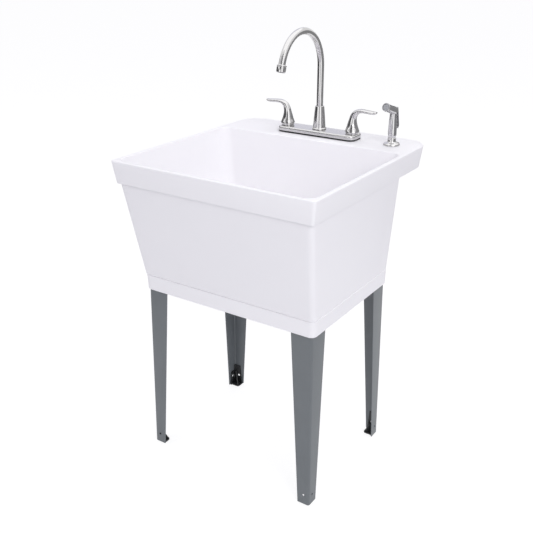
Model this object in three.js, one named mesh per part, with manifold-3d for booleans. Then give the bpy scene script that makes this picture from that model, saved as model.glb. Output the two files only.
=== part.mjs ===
// Utility laundry sink: a moulded tub on four folded legs, with a two-handle
// gooseneck faucet and a pull-out side sprayer. Millimetres, +X right, -Y front, +Z up.
// The origin lies on the floor under the middle of the rim.

import * as THREE from 'three';
import { mergeVertices } from 'three/addons/utils/BufferGeometryUtils.js';
import Module from 'manifold-3d';

const wasm = await Module();
wasm.setup();

// ---------------------------------------------------------------- driving dimensions

// clearances
const seatGap = 0.3;          // between two pieces that touch
const runGap = 0.35;          // between a turning or sliding piece and its guide

// tub
const rimWidth = 581;
const rimDepth = 606;
const rimHeight = 846;
const rimEdgeRound = 3;
const rimLip = 11.5;          // width of the rim's flat top at the sides
const rimLipFront = 9.5;
const rimFrontRadius = 10;
const rimBackRadius = 60;
const apronHeight = 59;
const apronDraft = 8;         // how far the apron draws in towards its lower edge
const apronWall = 4.5;
const deckDepth = 156;        // rear deck that carries the faucet
const deckThickness = 5;
const gussetThickness = 4;
const gussetX = 160;
const rimOverhangSide = 12;     // rim edge to the body below the apron
const rimOverhangFront = 12.5;
const backWall = 7;            // rear of the bowl mouth to the body's back
const bodyDraftSide = 19;      // how far the body draws in down to the plinth
const bodyDraftFront = 48.5;
const bodyDraftBack = 3;
const bodyCornerRadius = 15;
const tubWall = 5;
const floorRise = 31;          // bowl floor above the plinth's lower edge
const bowlCornerRadius = 30;
const bowlFloorRadius = 24;
const bowlTopDraft = 1;       // extra opening of the bowl at the rim
const plinthStepSide = 1.5;    // plinth set back under the body
const plinthStepFront = 4;
const plinthStepBack = -2;
const plinthHeight = 45;
const plinthWall = 5.5;
const grooveHeight = 3;
const grooveDepth = 2.5;
const undersideHeight = 486;  // lower edge of the plinth above the floor

// legs and feet
const legSheet = 2;
const legBendRadius = 5;
const legTopWidth = 62;
const legFloorWidth = 34;
const legSpreadX = 5.8;       // outward lean of a leg over its height
const legSpreadFront = 7.8;
const legSpreadBack = 5.8;
const socketRibThickness = 3;
const socketRibHeight = 20;
const socketRibLength = 54;
const legHoleRadius = 3.5;
const legHoleHeight = 28;
const legHoleInset = 16.5;
const legFloorGap = 1.5;
const footWall = 3;
const footShortHeight = 46;
const footTallHeight = 65;
const footPadThickness = 4;
const footPadX = 31;
const footPadY = 26;
const footWallWidth = 27;

// drain
const drainHoleRadius = 22;
const drainThreadRadius = 21;
const drainBoreRadius = 18.5;
const drainFlangeRadius = 36;
const drainFlangeThickness = 3;
const drainBodyLength = 48;
const drainRecess = 4;
const strainerBarWidth = 4;
const strainerBarDepth = 6;
const drainGasketThickness = 3;
const drainNutHeight = 9;
const tailpieceRadius = 19;
const tailpieceWall = 1.6;
const tailpieceLength = 62;
const tailNutHeight = 22;
const tailNutLobes = 10;
const stopperHeight = 9;

// faucet
const faucetFromBack = 90;     // tap axes to the rear edge of the deck
const tapSpacing = 203.2;     // 8 inch centres
const deckHoleRadius = 15;
const gasketThickness = 2.5;
const plateLength = 240;
const plateDepth = 60;
const plateHeight = 13;
const plateBevel = 7;
const plateWall = 2;
const plateCornerRadius = 17;
const ductWidth = 20;
const ductHeight = 9;
const valveBossRadius = 12;
const valveBoreRadius = 9;
const valveBossRise = 4;
const shankRadius = 10.4;     // half inch pipe thread
const shankLength = 52;
const nippleRadius = 6;
const nippleLength = 26;
const hubRadius = 13;
const hubHeight = 34;
const hubBoreRadius = 11.8;
const bushingHeight = 16;
const tapRingRadius = 17.2;
const tapRingHeight = 5.5;
const tapRingRound = 1;
const stemRadius = 4.5;
const bellRadius = 19.8;
const bellHeight = 58;
const leverReach = 70;
const washerThickness = 2;
const washerRadius = 19;
const nutFlats = 34;
const nutHeight = 12;
const collarHeight = 63;
const collarBaseRadius = 19.5;
const collarTopRadius = 12.3;
const spoutTubeRadius = 8.9;
const spoutRise = 169.5;      // plate top to the start of the bend
const spoutBendRadius = 98;
const spoutBendAngle = 162.5;
const aeratorRadius = 12.5;
const aeratorLength = 18;
const outletSocket = 8;        // straight end of the tube that the aerator screws on to
const aeratorBore = 9.6;

// side sprayer
const sprayerFromSide = 73.2;
const sprayerFromBack = 87;
const holderFlangeRadius = 21.9;
const holderHeight = 20;
const holderNeckRadius = 11;
const holderBoreRadius = 9;
const holderShankRadius = 14;
const holderShankLength = 46;
const sprayerPlugLength = 46;
const sprayerBodyRadius = 11.3;
const sprayerBodyHeight = 76;
const sprayerHeadTilt = 19;
const sprayerHeadReach = 50.5;
const sprayerNoseRadius = 10.8;
const sprayerFaceDepth = 5;
const lugWidth = 10;
const lugRadius = 3.6;
const triggerCheek = 2;       // thickness of the trigger's two cheeks
const triggerLength = 53.5;
const triggerThickness = 2.6;
const triggerStandoff = 12.3;
const pinRadius = 1.5;

// ---------------------------------------------------------------- looks in the source

const finish = (color, roughness, metalness = 0) =>
  new THREE.MeshStandardMaterial({ color, roughness, metalness });
const whitePlastic = finish('#e6e3ec', 0.5);
const greyPaint = finish('#777c80', 0.55);
const blackPlastic = finish('#1d1d1f', 0.6);
const brushedSteel = finish('#c9cacc', 0.25, 1);
const brass = finish('#b59a5b', 0.4, 1);
const greyRubber = finish('#2b2b2d', 0.85);
const greyPlastic = finish('#8d9093', 0.5);
const whiteNylon = finish('#dcdcd8', 0.5);

// ---------------------------------------------------------------- solids from geometries

const radians = THREE.MathUtils.degToRad;
const roundSides = 24;         // facets of a turned piece
const smallSides = 12;         // facets of a pin or a small hole

// a welded, outward-facing solid from any closed three.js geometry
function solid(geometry) {
  const bare = new THREE.BufferGeometry();
  bare.setAttribute('position', geometry.getAttribute('position').clone());
  if (geometry.index) bare.setIndex(geometry.index.clone());
  const welded = mergeVertices(bare, 1e-4);
  const p = welded.attributes.position.array;
  const triangles = [];
  let volume = 0;
  const corner = (i) => new THREE.Vector3(p[3 * i], p[3 * i + 1], p[3 * i + 2]);
  for (let i = 0; i < welded.index.count; i += 3) {
    const [a, b, c] = [0, 1, 2].map((k) => welded.index.getX(i + k));
    if (a === b || b === c || c === a) continue;
    triangles.push(a, b, c);
    volume += corner(a).dot(corner(b).cross(corner(c)));
  }
  if (volume < 0) triangles.reverse();
  return new wasm.Manifold(new wasm.Mesh({
    numProp: 3,
    vertProperties: new Float32Array(p),
    triVerts: new Uint32Array(triangles),
  }));
}

// joins a row of closed outlines, each with as many corners, and caps both ends
function loft(outlines, place) {
  const count = outlines[0].length;
  const position = [];
  outlines.forEach((outline, level) =>
    outline.forEach((point) => position.push(...place(point, level).toArray())));
  const index = [];
  for (let level = 0; level + 1 < outlines.length; level += 1) {
    for (let i = 0; i < count; i += 1) {
      const a = level * count + i;
      const b = level * count + (i + 1) % count;
      index.push(a, b, b + count, a, b + count, a + count);
    }
  }
  const top = (outlines.length - 1) * count;
  for (const [a, b, c] of THREE.ShapeUtils.triangulateShape(outlines[0], [])) {
    index.push(a, c, b);
  }
  for (const [a, b, c] of THREE.ShapeUtils.triangulateShape(outlines.at(-1), [])) {
    index.push(top + a, top + b, top + c);
  }
  const geometry = new THREE.BufferGeometry();
  geometry.setAttribute('position', new THREE.Float32BufferAttribute(position, 3));
  geometry.setIndex(index);
  return solid(geometry);
}

// outline of a rectangle with round corners, in the order front left, front right, back
function roundedRectangle(x0, x1, y0, y1, frontRadius, backRadius, steps = 5) {
  const points = [];
  const corners = [
    [x0 + frontRadius, y0 + frontRadius, frontRadius, 180],
    [x1 - frontRadius, y0 + frontRadius, frontRadius, 270],
    [x1 - backRadius, y1 - backRadius, backRadius, 0],
    [x0 + backRadius, y1 - backRadius, backRadius, 90],
  ];
  for (const [cx, cy, radius, start] of corners) {
    for (let i = 0; i <= steps; i += 1) {
      const angle = radians(start + 90 * i / steps);
      points.push(new THREE.Vector2(cx + radius * Math.cos(angle), cy + radius * Math.sin(angle)));
    }
  }
  return points;
}

// stacks outlines at given heights
const stack = (levels) =>
  loft(levels.map(([, outline]) => outline), (p, level) => new THREE.Vector3(p.x, p.y, levels[level][0]));

// extrudes a shape upwards from z0 to z1
function prism(shape, z0, z1) {
  const geometry = new THREE.ExtrudeGeometry(shape, { depth: z1 - z0, bevelEnabled: false, curveSegments: 8 });
  return solid(geometry.translate(0, 0, z0));
}

// turns a profile of [radius, height] pairs about the vertical axis through x, y
function revolve(profile, x = 0, y = 0, segments = roundSides) {
  const points = profile.map(([radius, height]) => new THREE.Vector2(radius, height));
  points.push(points[0].clone());
  const geometry = new THREE.LatheGeometry(points, segments);
  return solid(geometry.rotateX(Math.PI / 2).translate(x, y, 0));
}

const disc = (radius, z0, z1, x = 0, y = 0, segments = roundSides) =>
  revolve([[0, z0], [radius, z0], [radius, z1], [0, z1]], x, y, segments);

const ring = (inner, outer, z0, z1, x = 0, y = 0, segments = roundSides) =>
  revolve([[inner, z0], [outer, z0], [outer, z1], [inner, z1]], x, y, segments);

const block = (x0, x1, y0, y1, z0, z1) =>
  solid(new THREE.BoxGeometry(x1 - x0, y1 - y0, z1 - z0)
    .translate((x0 + x1) / 2, (y0 + y1) / 2, (z0 + z1) / 2));

// a round bar along X or Y through a point
function crossBar(radius, length, axis, x, y, z, segments = smallSides) {
  const geometry = new THREE.CylinderGeometry(radius, radius, length, segments);
  if (axis === 'x') geometry.rotateZ(Math.PI / 2);
  return solid(geometry.translate(x, y, z));
}

// an outline of [y, z] points, extruded to both sides of the plane x = 0
function plateAcross(points, halfWidth) {
  const outline = new THREE.Shape(points.map(([y, z]) => new THREE.Vector2(y, z)));
  const geometry = new THREE.ExtrudeGeometry(outline, { depth: 2 * halfWidth, bevelEnabled: false });
  return solid(geometry.translate(0, 0, -halfWidth).rotateX(Math.PI / 2).rotateZ(Math.PI / 2));
}

// a hexagonal nut with a round flange on its upper face
function hexNut(flats, bore, z0, z1, x, y) {
  const flangeHeight = 3;
  const hexTop = z1 - flangeHeight / 2;
  const hex = new THREE.CylinderGeometry(flats / Math.sqrt(3), flats / Math.sqrt(3), hexTop - z0, 6)
    .rotateX(Math.PI / 2).translate(x, y, (z0 + hexTop) / 2);
  return solid(hex).add(disc(flats / 2 + 3, z1 - flangeHeight, z1, x, y)).subtract(disc(bore, z0 - 1, z1 + 1, x, y));
}

// an oval bar whose sections follow a line in the X-Z plane; a station is
// [x, z, heading in degrees, half width, half thickness]
function sweep(stations, segments = 18) {
  const outlines = stations.map(([, , , halfWidth, halfThickness]) => {
    const outline = [];
    for (let i = 0; i < segments; i += 1) {
      const angle = 2 * Math.PI * i / segments;
      outline.push(new THREE.Vector2(halfWidth * Math.cos(angle), halfThickness * Math.sin(angle)));
    }
    return outline;
  });
  return loft(outlines, (p, level) => {
    const [x, z, heading] = stations[level];
    const turn = radians(heading);
    return new THREE.Vector3(x - p.y * Math.sin(turn), p.x, z + p.y * Math.cos(turn));
  });
}

function mesh(name, body, material) {
  const source = body.getMesh();
  const geometry = new THREE.BufferGeometry();
  geometry.setAttribute('position', new THREE.BufferAttribute(new Float32Array(source.vertProperties), 3));
  geometry.setIndex(new THREE.BufferAttribute(new Uint32Array(source.triVerts), 1));
  const part = new THREE.Mesh(geometry, material);
  part.name = name;
  return part;
}

// ---------------------------------------------------------------- heights that pieces share

const rimHalfWidth = rimWidth / 2;
const rimFront = -rimDepth / 2;
const rimBack = rimDepth / 2;
const apronBottom = rimHeight - apronHeight;
const bowlFloor = undersideHeight + floorRise;
const bowlUnderside = bowlFloor - tubWall;
const bowlBack = rimBack - deckDepth;
const bodyTopHalfWidth = rimHalfWidth - rimOverhangSide;
const bodyTopFront = rimFront + rimOverhangFront;
const bodyTopBack = bowlBack + backWall;
const bodyBaseHalfWidth = bodyTopHalfWidth - bodyDraftSide;
const bodyBaseFront = bodyTopFront + bodyDraftFront;
const bodyBaseBack = bodyTopBack - bodyDraftBack;
const plinthHalfWidth = bodyBaseHalfWidth - plinthStepSide;
const plinthFront = bodyBaseFront + plinthStepFront;
const plinthBack = bodyBaseBack - plinthStepBack;
const faucetY = rimBack - faucetFromBack;
const sprayerX = rimHalfWidth - sprayerFromSide;
const sprayerY = rimBack - sprayerFromBack;
const bowlCentreY = (bodyBaseFront + bodyBaseBack) / 2;
const deckUnderside = rimHeight - deckThickness;
const plinthTop = undersideHeight + plinthHeight;

// ---------------------------------------------------------------- tub

function apronBlock() {
  const draw = (inset) => roundedRectangle(-rimHalfWidth + inset, rimHalfWidth - inset,
    rimFront + inset, rimBack - inset, rimFrontRadius - inset * 0.4, rimBackRadius - inset);
  return stack([
    [apronBottom, draw(apronDraft)],
    [rimHeight - rimEdgeRound, draw(0)],
    [rimHeight - rimEdgeRound * 0.3, draw(rimEdgeRound * 0.3)],
    [rimHeight, draw(rimEdgeRound)],
  ]);
}

function bodyBlock() {
  const draw = (half, front, back) =>
    roundedRectangle(-half, half, front, back, bodyCornerRadius, bodyCornerRadius);
  return stack([
    [undersideHeight, draw(plinthHalfWidth, plinthFront, plinthBack)],
    [plinthTop - grooveHeight, draw(plinthHalfWidth + 1, plinthFront - 2, plinthBack)],
    [plinthTop - grooveHeight, draw(plinthHalfWidth + 0.4, plinthFront - 2 + grooveDepth, plinthBack)],
    [plinthTop, draw(plinthHalfWidth + 0.4, plinthFront - 2 + grooveDepth, plinthBack)],
    [plinthTop, draw(bodyBaseHalfWidth, bodyBaseFront, bodyBaseBack)],
    [apronBottom, draw(bodyTopHalfWidth, bodyTopFront, bodyTopBack)],
    [apronBottom + 20, draw(bodyTopHalfWidth, bodyTopFront, bodyTopBack)],
  ]);
}

function bowlCavity() {
  const draw = (half, front, back, inset) => {
    const radius = bowlCornerRadius - inset * 0.8;
    return roundedRectangle(-half + inset, half - inset, front + inset, back - inset, radius, radius);
  };
  const baseHalf = bodyBaseHalfWidth - tubWall;
  const baseFront = bodyBaseFront + tubWall;
  const baseBack = bodyBaseBack - tubWall;
  const levels = [];
  for (const angle of [0, 30, 60, 90]) {
    const inset = bowlFloorRadius * (1 - Math.sin(radians(angle)));
    const rise = bowlFloorRadius * (1 - Math.cos(radians(angle)));
    levels.push([bowlFloor + rise, draw(baseHalf, baseFront, baseBack, inset)]);
  }
  const midBack = Math.min(bodyTopBack - tubWall, bowlBack + bowlTopDraft);
  levels.push([apronBottom, draw(bodyTopHalfWidth - tubWall, bodyTopFront + tubWall, midBack, 0)]);
  const mouth = (inset) =>
    draw(rimHalfWidth - rimLip + inset, rimFront + rimLipFront - inset, bowlBack + inset, 0);
  levels.push([rimHeight - rimEdgeRound, mouth(0)]);
  levels.push([rimHeight, mouth(rimEdgeRound * 0.6)]);
  levels.push([rimHeight + 5, mouth(rimEdgeRound * 0.6)]);
  return stack(levels);
}

// the space under the rear deck, open downwards, with two gussets left standing
function deckHollow() {
  const draw = (inset) => roundedRectangle(-rimHalfWidth + inset, rimHalfWidth - inset,
    bodyTopBack, rimBack - inset, 1, rimBackRadius - inset);
  const space = stack([
    [apronBottom - 1, draw(apronDraft + apronWall)],
    [deckUnderside, draw(apronWall + 0.4)],
  ]);
  const rise = deckUnderside + 1;
  const near = bodyTopBack - 1;
  const far = rimBack - apronWall;
  const gusset = plateAcross([
    [near, apronBottom - 2], [near + 7, apronBottom - 2], [far, rise - 12], [far, rise], [near, rise],
  ], gussetThickness / 2);
  const gussets = gusset.translate([-gussetX, 0, 0]).add(gusset.translate([gussetX, 0, 0]));
  return space.subtract(gussets);
}

// an L-shaped rib beside each leg, under the bowl floor
function legSocketRib(sideX, sideY) {
  const outerX = plinthHalfWidth - plinthWall - 2 * seatGap - legSheet - 0.4;
  const plinthY = sideY < 0 ? plinthFront : plinthBack;
  const outerY = Math.abs(plinthY) - plinthWall - 2 * seatGap - legSheet - 0.5;
  const innerX = outerX - socketRibThickness;
  const innerY = outerY - socketRibThickness;
  const bendClear = legBendRadius;
  const top = bowlUnderside + 1;
  const bottom = bowlUnderside - socketRibHeight;
  const along = (near, far, side) => (side > 0 ? [near, far] : [-far, -near]);
  const [ax0, ax1] = along(outerX - socketRibLength, outerX - bendClear, sideX);
  const [ay0, ay1] = along(innerY, outerY, sideY);
  const [bx0, bx1] = along(innerX, outerX, sideX);
  const [by0, by1] = along(outerY - socketRibLength, outerY - bendClear, sideY);
  return block(ax0, ax1, ay0, ay1, bottom, top).add(block(bx0, bx1, by0, by1, bottom, top));
}

function tub() {
  let body = apronBlock().add(bodyBlock()).subtract(bowlCavity()).subtract(deckHollow());
  const hollow = stack([
    [undersideHeight - 1, roundedRectangle(-plinthHalfWidth + plinthWall, plinthHalfWidth - plinthWall,
      plinthFront + plinthWall, plinthBack - plinthWall, legBendRadius, legBendRadius)],
    [bowlUnderside, roundedRectangle(-plinthHalfWidth + plinthWall, plinthHalfWidth - plinthWall,
      plinthFront + plinthWall, plinthBack - plinthWall, legBendRadius, legBendRadius)],
  ]);
  body = body.subtract(hollow);
  for (const sideX of [-1, 1]) {
    for (const sideY of [-1, 1]) body = body.add(legSocketRib(sideX, sideY));
  }
  body = body.subtract(disc(drainHoleRadius, bowlUnderside - 2, bowlFloor + 2, 0, bowlCentreY));
  for (const x of [-tapSpacing / 2, 0, tapSpacing / 2]) {
    body = body.subtract(disc(deckHoleRadius, deckUnderside - 2, rimHeight + 2, x, faucetY));
  }
  body = body.subtract(disc(deckHoleRadius, deckUnderside - 2, rimHeight + 2, sprayerX, sprayerY));
  return body;
}

// ---------------------------------------------------------------- legs and feet

// outer corner of a leg at a height above the floor, as distances from the centre lines
function legCorner(sideY, z) {
  const lean = 1 - z / undersideHeight;
  const front = sideY < 0;
  const topX = plinthHalfWidth - plinthWall - seatGap;
  const topY = (front ? -plinthFront : plinthBack) - plinthWall - seatGap;
  return [topX + legSpreadX * lean, topY + (front ? legSpreadFront : legSpreadBack) * lean];
}

// an angle section with one bend, measured inwards from its outer corner
function angleOutline(widthX, widthY, sheet, bend) {
  const steps = 3;
  const points = [new THREE.Vector2(widthX, 0), new THREE.Vector2(widthX, sheet)];
  const inner = Math.max(bend - sheet, 0.5);
  for (let i = 0; i <= steps; i += 1) {
    const angle = radians(270 - 90 * i / steps);
    points.push(new THREE.Vector2(sheet + inner + inner * Math.cos(angle), sheet + inner + inner * Math.sin(angle)));
  }
  points.push(new THREE.Vector2(sheet, widthY), new THREE.Vector2(0, widthY));
  const outer = sheet + inner;
  for (let i = 0; i <= steps; i += 1) {
    const angle = radians(180 + 90 * i / steps);
    points.push(new THREE.Vector2(outer + outer * Math.cos(angle), outer + outer * Math.sin(angle)));
  }
  return points;
}

function placeInCorner(sideX, sideY, heights) {
  return (p, level) => {
    const [cornerX, cornerY] = legCorner(sideY, heights[level]);
    return new THREE.Vector3(sideX * (cornerX - p.x), sideY * (cornerY - p.y), heights[level]);
  };
}

function legHoles(sideX, sideY) {
  const [cornerX, cornerY] = legCorner(sideY, legHoleHeight);
  const depth = 30;
  return crossBar(legHoleRadius, depth, 'y', sideX * (cornerX - legHoleInset), sideY * cornerY, legHoleHeight)
    .add(crossBar(legHoleRadius, depth, 'x', sideX * cornerX, sideY * (cornerY - legHoleInset), legHoleHeight));
}

function leg(sideX, sideY) {
  const heights = [legFloorGap, bowlUnderside - seatGap];
  const widths = heights.map((z) => legFloorWidth + (legTopWidth - legFloorWidth) * Math.min(z / undersideHeight, 1));
  const outlines = widths.map((width) => angleOutline(width, width, legSheet, legBendRadius));
  return loft(outlines, placeInCorner(sideX, sideY, heights)).subtract(legHoles(sideX, sideY));
}

// a boot inside the leg's corner: two walls against the flanges, a pad on the floor and a web
function foot(sideX, sideY) {
  const inset = legSheet + seatGap;
  const heights = [0, footTallHeight];
  const outlines = [footWallWidth, footWallWidth - 6].map((width) =>
    angleOutline(width, width, footWall, footWall + 0.8)
      .map((p) => new THREE.Vector2(p.x + inset, p.y + inset)));
  const walls = loft(outlines, placeInCorner(sideX, sideY, heights));
  const [cornerX, cornerY] = legCorner(sideY, 0);
  const at = (u, v) => new THREE.Vector2(sideX * (cornerX - u), sideY * (cornerY - v));
  const bevel = 4;
  const aboveSide = prism(new THREE.Shape([
    at(0, inset + 2 * footWall), at(inset + 2 * footWall, inset + 2 * footWall),
    at(inset + 2 * footWall, 2 * footWallWidth), at(0, 2 * footWallWidth),
  ]), footShortHeight, footTallHeight + 1);
  const pad = prism(new THREE.Shape([
    at(inset + bevel, inset), at(footPadX, inset), at(footPadX, footPadY - bevel),
    at(footPadX - bevel, footPadY), at(inset, footPadY), at(inset, inset + bevel),
  ]), 0, footPadThickness);
  const half = footWall / 2;
  const webStart = inset + footWall + 1.5;
  const reach = Math.hypot(footPadX, footPadY) - bevel;
  const webOutline = new THREE.Shape([
    new THREE.Vector2(webStart, 0), new THREE.Vector2(reach, 0), new THREE.Vector2(reach, footPadThickness),
    new THREE.Vector2(webStart + 7, footShortHeight - 2), new THREE.Vector2(webStart, footShortHeight - 2),
  ]);
  const web = new THREE.ExtrudeGeometry(webOutline, { depth: footWall, bevelEnabled: false });
  web.translate(0, 0, -half).rotateX(Math.PI / 2);
  web.rotateZ(Math.atan2(-sideY * footPadY, -sideX * footPadX));
  web.translate(sideX * cornerX, sideY * cornerY, 0);
  return walls.subtract(aboveSide).add(pad).add(solid(web)).subtract(legHoles(sideX, sideY));
}

// ---------------------------------------------------------------- drain

const drainSeat = bowlFloor + seatGap;
const drainTop = drainSeat + drainFlangeThickness;
const drainEnd = drainTop - drainBodyLength;

function drainBody() {
  const profile = [
    [drainBoreRadius, drainEnd], [drainThreadRadius, drainEnd], [drainThreadRadius, drainSeat],
    [drainFlangeRadius, drainSeat], [drainFlangeRadius - 1.5, drainTop], [drainBoreRadius + 4, drainTop],
    [drainBoreRadius, drainTop - drainRecess],
  ];
  const barTop = drainEnd + strainerBarDepth + 6;
  const half = strainerBarWidth / 2;
  const reach = drainBoreRadius + 1;
  const bars = block(-reach, reach, bowlCentreY - half, bowlCentreY + half, barTop - strainerBarDepth, barTop)
    .add(block(-half, half, bowlCentreY - reach, bowlCentreY + reach, barTop - strainerBarDepth, barTop));
  return revolve(profile, 0, bowlCentreY).add(bars);
}

const drainThreadClear = drainThreadRadius + seatGap;
const drainGasketTop = bowlUnderside - seatGap;
const drainNutTop = drainGasketTop - drainGasketThickness - seatGap;

const drainGasket = () =>
  ring(drainThreadClear, drainFlangeRadius - 3, drainGasketTop - drainGasketThickness, drainGasketTop, 0, bowlCentreY);

const drainLocknut = () =>
  hexNut(2 * drainFlangeRadius - 12, drainThreadClear, drainNutTop - drainNutHeight, drainNutTop, 0, bowlCentreY);

const tailTop = drainEnd - seatGap;

function tailpiece() {
  const bore = tailpieceRadius - tailpieceWall;
  return revolve([
    [bore, tailTop - tailpieceLength], [tailpieceRadius, tailTop - tailpieceLength],
    [tailpieceRadius, tailTop - 2], [drainThreadRadius, tailTop - 2],
    [drainThreadRadius, tailTop], [bore, tailTop],
  ], 0, bowlCentreY);
}

function tailpieceNut() {
  const lip = tailTop - 2 - seatGap;
  const bottom = lip - 3;
  const outer = drainThreadRadius + 5;
  return disc(outer, bottom, bottom + tailNutHeight, 0, bowlCentreY, tailNutLobes)
    .subtract(disc(drainThreadClear, lip, bottom + tailNutHeight + 1, 0, bowlCentreY))
    .subtract(disc(tailpieceRadius + seatGap, bottom - 1, lip + 1, 0, bowlCentreY));
}

function drainStopper() {
  const rest = drainTop + seatGap;
  return revolve([
    [0, rest - stopperHeight], [drainBoreRadius - 2, rest - stopperHeight], [drainBoreRadius - runGap, rest - 5],
    [drainBoreRadius - runGap, rest], [drainBoreRadius + 5, rest], [drainBoreRadius + 4, rest + 3],
    [6, rest + 4], [4, rest + 9], [7, rest + 12], [6, rest + 15], [0, rest + 16],
  ], 0, bowlCentreY);
}

// ---------------------------------------------------------------- faucet body

const gasketBottom = rimHeight + seatGap;
const plateBottom = gasketBottom + gasketThickness + seatGap;
const plateTop = plateBottom + plateHeight;
const tapX = tapSpacing / 2;

function plateOutline(inset) {
  return roundedRectangle(-plateLength / 2 + inset, plateLength / 2 - inset, faucetY - plateDepth / 2 + inset,
    faucetY + plateDepth / 2 - inset, plateCornerRadius - inset * 0.6, plateCornerRadius - inset * 0.6, 4);
}

function plateGasket() {
  const z1 = gasketBottom + gasketThickness;
  const rubber = stack([[gasketBottom, plateOutline(0.5)], [z1, plateOutline(0.5)]]);
  const inner = stack([[gasketBottom - 1, plateOutline(6)], [z1 + 1, plateOutline(6)]]);
  return rubber.subtract(inner);
}

function deckPlate() {
  const bevel = [0, 30, 60, 90].map((angle) => [
    plateTop - plateBevel * (1 - Math.sin(radians(angle))),
    plateOutline(plateBevel * (1 - Math.cos(radians(angle)))),
  ]);
  const shell = stack([[plateBottom, plateOutline(0)], ...bevel]);
  const hollow = stack([
    [plateBottom - 1, plateOutline(plateWall)],
    [plateTop - plateBevel, plateOutline(plateWall)],
    [plateTop - plateWall, plateOutline(plateWall + plateBevel)],
  ]);
  let plate = shell.subtract(hollow);
  for (const [x, radius] of [[-tapX, valveBossRadius], [0, hubRadius], [tapX, valveBossRadius]]) {
    plate = plate.subtract(disc(radius + seatGap, plateTop - 5, plateTop + 1, x, faucetY));
  }
  return plate;
}

const valveBossTop = plateTop + valveBossRise;
const hubTop = plateTop + hubHeight;
const spoutFoot = plateTop + 10;

// the cast waterway: duct, valve bosses, spout hub, supply shanks and hose nipple in one piece
function waterway() {
  const ductBottom = plateBottom + 1;
  const bossBottom = ductBottom - 0.6;
  let casting = stack([ductBottom, ductBottom + ductHeight].map((z) => [z, roundedRectangle(
    -tapX, tapX, faucetY - ductWidth / 2, faucetY + ductWidth / 2, 4, 4, 3)]));
  for (const x of [-tapX, tapX]) {
    casting = casting.add(disc(valveBossRadius, bossBottom, valveBossTop, x, faucetY))
      .add(disc(shankRadius, rimHeight - shankLength, ductBottom + 1, x, faucetY));
  }
  casting = casting.add(disc(hubRadius, bossBottom, hubTop, 0, faucetY))
    .add(disc(nippleRadius, rimHeight - nippleLength, ductBottom + 1, 0, faucetY, smallSides));
  for (const x of [-tapX, tapX]) {
    casting = casting.subtract(disc(valveBoreRadius, ductBottom + 4, valveBossTop + 1, x, faucetY))
      .subtract(disc(shankRadius - 3, rimHeight - shankLength - 1, rimHeight - shankLength + 12, x, faucetY,
        smallSides));
  }
  return casting.subtract(disc(spoutTubeRadius + runGap, spoutFoot - seatGap, hubTop + 1, 0, faucetY))
    .subtract(disc(hubBoreRadius, hubTop - bushingHeight, hubTop + 1, 0, faucetY))
    .subtract(disc(nippleRadius - 2, rimHeight - nippleLength - 1, rimHeight - nippleLength + 12, 0, faucetY,
      smallSides));
}

const spoutBushing = () =>
  ring(spoutTubeRadius + runGap, hubBoreRadius - seatGap, hubTop - bushingHeight + seatGap, hubTop, 0, faucetY);

function spoutCollar() {
  const z0 = plateTop + seatGap;
  const z1 = z0 + collarHeight;
  const profile = [[hubRadius + seatGap, z0], [collarBaseRadius, z0], [collarBaseRadius, z0 + 2.5],
    [collarBaseRadius - 2, z0 + 4.5]];
  const flare = collarBaseRadius - 2.2 - collarTopRadius;
  for (const share of [0.12, 0.3, 0.5, 0.75, 1]) {
    const radius = collarTopRadius + flare * (1 - share) ** 0.85;
    profile.push([radius, z0 + 5 + (collarHeight - 7) * share]);
  }
  profile.push([collarTopRadius - 1, z1], [spoutTubeRadius + runGap, z1],
    [spoutTubeRadius + runGap, hubTop + seatGap], [hubRadius + seatGap, hubTop + seatGap]);
  return revolve(profile, 0, faucetY);
}

// ---------------------------------------------------------------- spout

const bendStart = plateTop + spoutRise;

// rotates a body built in the X-Z plane so that its +X side faces the front
const faceFront = (body) => body.rotate([0, 0, -90]).translate([0, faucetY, 0]);

function spoutTube() {
  const stations = [[0, spoutFoot, 90], [0, bendStart - 60, 90]];
  const steps = 18;
  for (let i = 0; i <= steps; i += 1) {
    const turned = spoutBendAngle * i / steps;
    const angle = radians(turned);
    stations.push([spoutBendRadius * (1 - Math.cos(angle)), bendStart + spoutBendRadius * Math.sin(angle), 90 - turned]);
  }
  const rounded = stations.map((station) => [...station, spoutTubeRadius, spoutTubeRadius]);
  const [x, z, heading] = stations.at(-1);
  const turn = radians(heading);
  rounded.push([x + outletSocket * Math.cos(turn), z + outletSocket * Math.sin(turn), heading,
    spoutTubeRadius, spoutTubeRadius]);
  return faceFront(sweep(rounded));
}

// places a body that is built hanging down from the origin on the outlet of the spout
function atOutlet(body) {
  const angle = radians(spoutBendAngle);
  const x = spoutBendRadius * (1 - Math.cos(angle));
  const z = bendStart + spoutBendRadius * Math.sin(angle);
  return faceFront(body.rotate([0, spoutBendAngle - 180, 0]).translate([x, 0, z]));
}

const aeratorTop = -4;

function aeratorHousing() {
  const bottom = aeratorTop - aeratorLength;
  const socket = -outletSocket - seatGap;
  return atOutlet(revolve([
    [aeratorBore, bottom], [aeratorRadius - 2, bottom], [aeratorRadius - 1, bottom + 1.5],
    [aeratorRadius, aeratorTop - 2], [aeratorRadius - 2, aeratorTop],
    [spoutTubeRadius + seatGap, aeratorTop], [spoutTubeRadius + seatGap, socket], [aeratorBore, socket],
  ]));
}

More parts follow.
